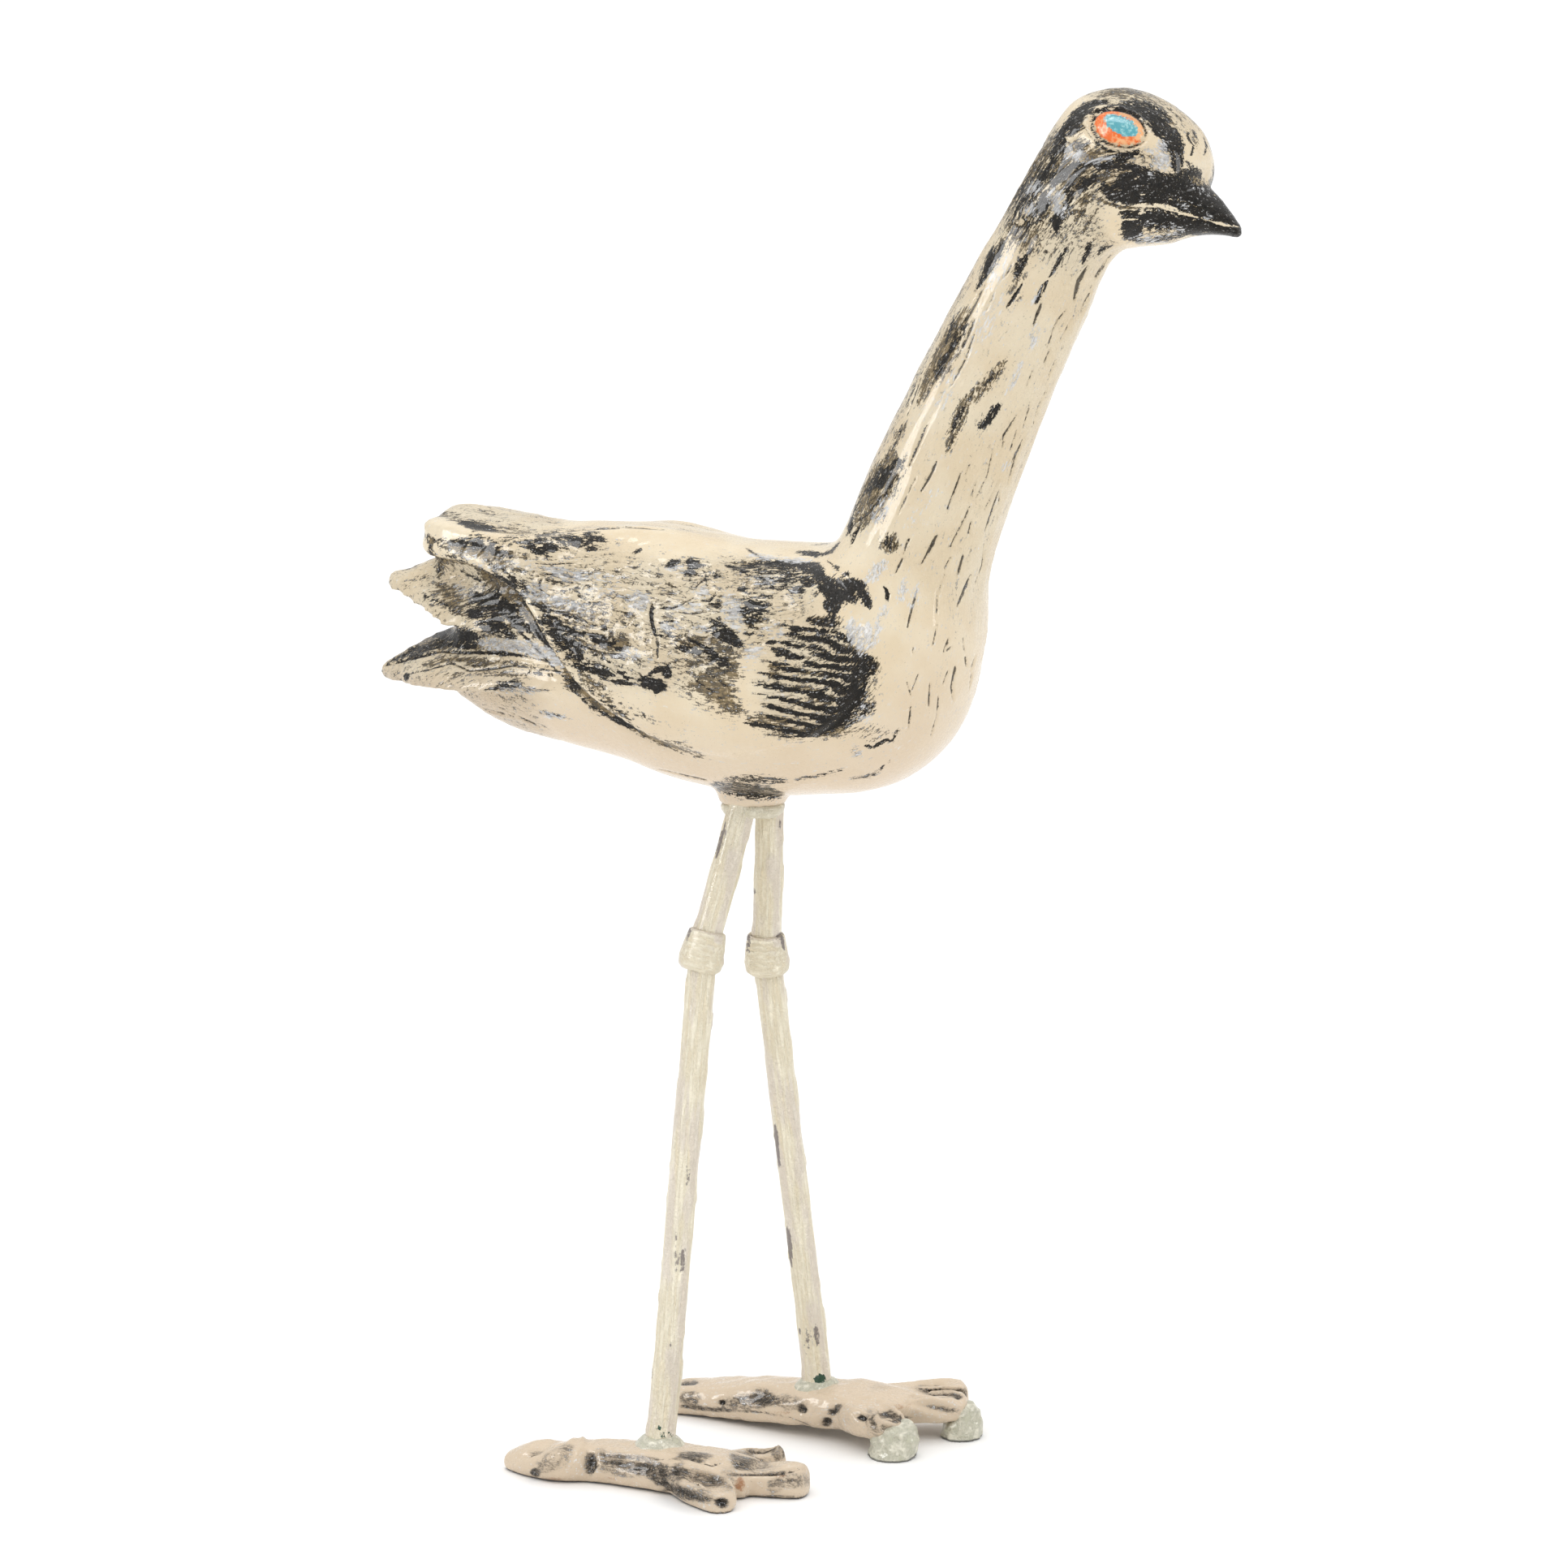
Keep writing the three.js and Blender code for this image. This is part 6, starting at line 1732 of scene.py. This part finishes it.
def foot(side, material):
    """A clay foot pressed together from a sole and three toes, with dark glaze and painted shade in its
    hollows and painted shadow along the ground.
    """
    shells = [foot_skin(rows) for rows in [SOLES[side], *TOES[side]]]
    if side == "left":
        shells = [(tipped(points), faces) for points, faces in shells]
    points, faces = fused(shells, FOOT_VOXEL, FOOT_ROUNDS)
    normals = normals_of(points, faces)
    sight = Sight(points, normals)
    cuts = sight.read_marks(FOOT_CUTS)
    relief = clay(points, **FOOT_CLAY) + sight.read(swell, FOOT_RELIEF)
    relief -= FOOT_CUT_DEPTH * smoothstep(*FOOT_CUT_EDGE, cuts)
    relief *= smoothstep(*SOLE_EDGE_Z, points[:, 2])
    shaped = points + relief[:, None] * normals
    shaped[:, 2] = np.maximum(shaped[:, 2], 0)
    masks = foot_masks(sight, points, faces, relief, cuts)
    piece(f"{side}_foot", shaped, faces, material, masks)


# Putty: slices as z, half length, half width; ankle slices count z from the rod's end
HIP_PUTTY = [(324.6, 14.5, 13), (323.2, 15.5, 14), (320.5, 15, 13.5), (318, 12.5, 11.5), (317.4, 9, 8)]
ANKLE_PUTTY = [(-4, 13.5, 12.5), (1, 13.2, 12.3), (3, 11.8, 11), (6, 8.6, 8.4), (6.6, 7.4, 7.3)]
# Toe pads: x, y, height, half length, half width; their slices are shares of the last three
TOE_PADS = {
    "left_inner_toe_pad": (48, 24, 17, 12.5, 13),
    "left_middle_toe_pad": (69, 68, 18, 10, 11),
}
PAD_SHAPE = [(0, 1, 1), (0.45, 0.96, 0.94), (0.85, 0.7, 0.66), (1, 0.35, 0.35)]
PAD_LEAN = (2.5, 1.0)
PAD_ROUGHNESS = 1.5
RING_ROUGHNESS = 0.5
PUTTY_VOXEL = 0.9
PUTTY_ROUNDS = 2
PUTTY_CLAY = {"bumps": [(0.9, (8, 8, 6), 41), (0.5, 3.6, 42)], "creases": [(0.9, (9, 9, 5), 43)]}
PUTTY_LIFT = 0.3
PUTTY_GROUND_Z = (1.8, 0.6)


def putty_lump(name, slices, x, y, material, rough=RING_ROUGHNESS, lean=(0, 0)):
    """A pressed lump: slices about an upright axis, leaning over as they rise, dented by thumbs."""
    points, faces = fused([lump_skin(slices, x, y)], PUTTY_VOXEL, PUTTY_ROUNDS)
    rise = points[:, 2] - points[:, 2].min()
    points[:, :2] += (rise / rise.max())[:, None] * np.array(lean)
    normals = normals_of(points, faces)
    relief = rough * (clay(points, **PUTTY_CLAY) + PUTTY_LIFT)
    shaped = points + relief[:, None] * normals
    shaped[:, 2] = np.maximum(shaped[:, 2], 0)
    masks = painted_masks(points, normals)
    masks["under"] = smoothstep(*PUTTY_GROUND_Z, points[:, 2])
    piece(name, shaped, faces, material, masks)


def build_bird():
    body_glaze = glaze("body_glaze", 0.8, 1.0, (1.2, 1.3), (1.1, 1.3), OLIVES, eyes=True)
    bird = Bird()
    skin_points, masks = bird.shaped(), bird.masks()
    piece("bird_body", skin_points, bird.faces, body_glaze, masks, bird.flow, "glazed_bird")


def build_legs():
    ivory = paint("ivory_paint")
    for side, leg in LEGS.items():
        for name, ends in zip(("upper", "lower"), rod_ends(leg)):
            rod(f"{side}_{name}_leg", *ends, ivory)
        upper = unit(np.subtract(leg["hip"], leg["knee"]))
        lower = unit(np.subtract(leg["knee"], leg["ankle"]))
        tilt = COLLAR_TILT[side]
        collar(f"{side}_knee_collar", leg["knee"], upper * (1 - tilt) + lower * tilt, ivory)


def build_feet():
    foot_glaze = glaze("foot_glaze", 0.9, 0.5, (0.78, 1.5), (0.62, 1.3), SMUDGE_AND_SHADE_TONES)
    cream = putty("cream_putty", *CREAM_PUTTY)
    green = putty("green_putty", *GREEN_PUTTY)
    for side in SOLES:
        foot(side, foot_glaze)
        x, y, z = LEGS[side]["ankle"]
        putty_lump(f"{side}_ankle_putty", np.add(ANKLE_PUTTY, (z, 0, 0)), x, y, green)
    for name, (x, y, *size) in TOE_PADS.items():
        slices = np.multiply(PAD_SHAPE, size)
        putty_lump(name, slices, x, y, green, PAD_ROUGHNESS, PAD_LEAN)
    putty_lump("hip_putty", HIP_PUTTY, BOSS_X, 0, cream)


# Stage, light and camera
LOOK_AT = CAMERA_TARGET * MM + SHIFT
UP = np.array([0, 0, 1.0])
FLOOR_REACH = 30.0
FLOOR_TONE_SCALE = 3.0
# Softboxes that show as a sheen alone: metres to the camera's right, towards it and up, size, brightness
SOFTBOXES = {
    "left_box": (-1.35, 0.55, 0.95, 0.6, 1.0, 24.0),
    "right_box": (1.5, 0.7, 0.8, 0.3, 1.0, 14.0),
    "top_box": (-0.2, 0.3, 1.9, 0.8, 0.5, 18.0),
}
SOFTBOX_AIM = LOOK_AT + 0.08 * UP
# The white room's brightness by the upward part of the direction: bright wall, dimmer middle, bright top
ROOM = [(0.0, 1.08), (0.06, 1.08), (0.13, 0.78), (0.5, 0.8), (0.75, 1.6), (1.0, 1.65)]


def aim_at(thing, place, target):
    back = unit(np.subtract(place, target))
    side = unit(np.cross(UP, back))
    matrix = np.eye(4)
    matrix[:3] = np.stack([side, np.cross(back, side), back, place], axis=1)
    thing.matrix_world = Matrix(matrix.tolist())


def build_floor():
    corners = [(x * FLOOR_REACH, y * FLOOR_REACH, 0) for x, y in ((-1, -1), (1, -1), (1, 1), (-1, 1))]
    mesh = bpy.data.meshes.new("floor")
    mesh.from_pydata(corners, [], [(0, 1, 2, 3)])
    floor = linked("floor", mesh)
    s = Shades("white_floor")
    colour = s.blend(s.noise(s.place(), FLOOR_TONE_SCALE), *FLOOR_WHITES)
    mesh.materials.append(s.finish(Base_Color=colour, Roughness=0.7, Specular_IOR_Level=0.2))


def build_softboxes():
    level = unit([CAMERA_BACK[0], CAMERA_BACK[1], 0])
    below_target = np.array([LOOK_AT[0], LOOK_AT[1], 0])
    for name, (right, back, up, width, height, brightness) in SOFTBOXES.items():
        light = bpy.data.lights.new(name, "AREA")
        light.shape = "RECTANGLE"
        light.size, light.size_y = width, height
        light.energy = brightness * math.pi * width * height
        box = linked(name, light)
        box.visible_diffuse = False
        aim_at(box, below_target + CAMERA_RIGHT * right + level * back + UP * up, SOFTBOX_AIM)


def build_room():
    world = bpy.data.worlds.new("white_room")
    bpy.context.scene.world = world
    world.use_nodes = True
    tree = world.node_tree
    direction = tree.nodes.new("ShaderNodeTexCoord")
    upward = tree.nodes.new("ShaderNodeSeparateXYZ")
    ramp = tree.nodes.new("ShaderNodeValToRGB")
    while len(ramp.color_ramp.elements) < len(ROOM):
        ramp.color_ramp.elements.new(0.5)
    for element, (height, brightness) in zip(ramp.color_ramp.elements, ROOM):
        element.position = height
        element.color = (brightness, brightness, brightness, 1)
    tree.links.new(direction.outputs["Generated"], upward.inputs[0])
    tree.links.new(upward.outputs["Z"], ramp.inputs["Fac"])
    tree.links.new(ramp.outputs["Color"], tree.nodes["Background"].inputs["Color"])


def build_camera():
    camera = bpy.data.cameras.new("camera")
    camera.sensor_width = SENSOR_MM
    camera.lens = FOCAL / PHOTO_SIDE * SENSOR_MM
    camera.clip_end = 100
    holder = linked("camera", camera)
    aim_at(holder, CAMERA_PLACE * MM + SHIFT, LOOK_AT)
    bpy.context.scene.camera = holder


build_bird()
build_legs()
build_feet()
build_floor()
build_room()
build_softboxes()
build_camera()
bpy.context.scene.view_settings.view_transform = "Standard"
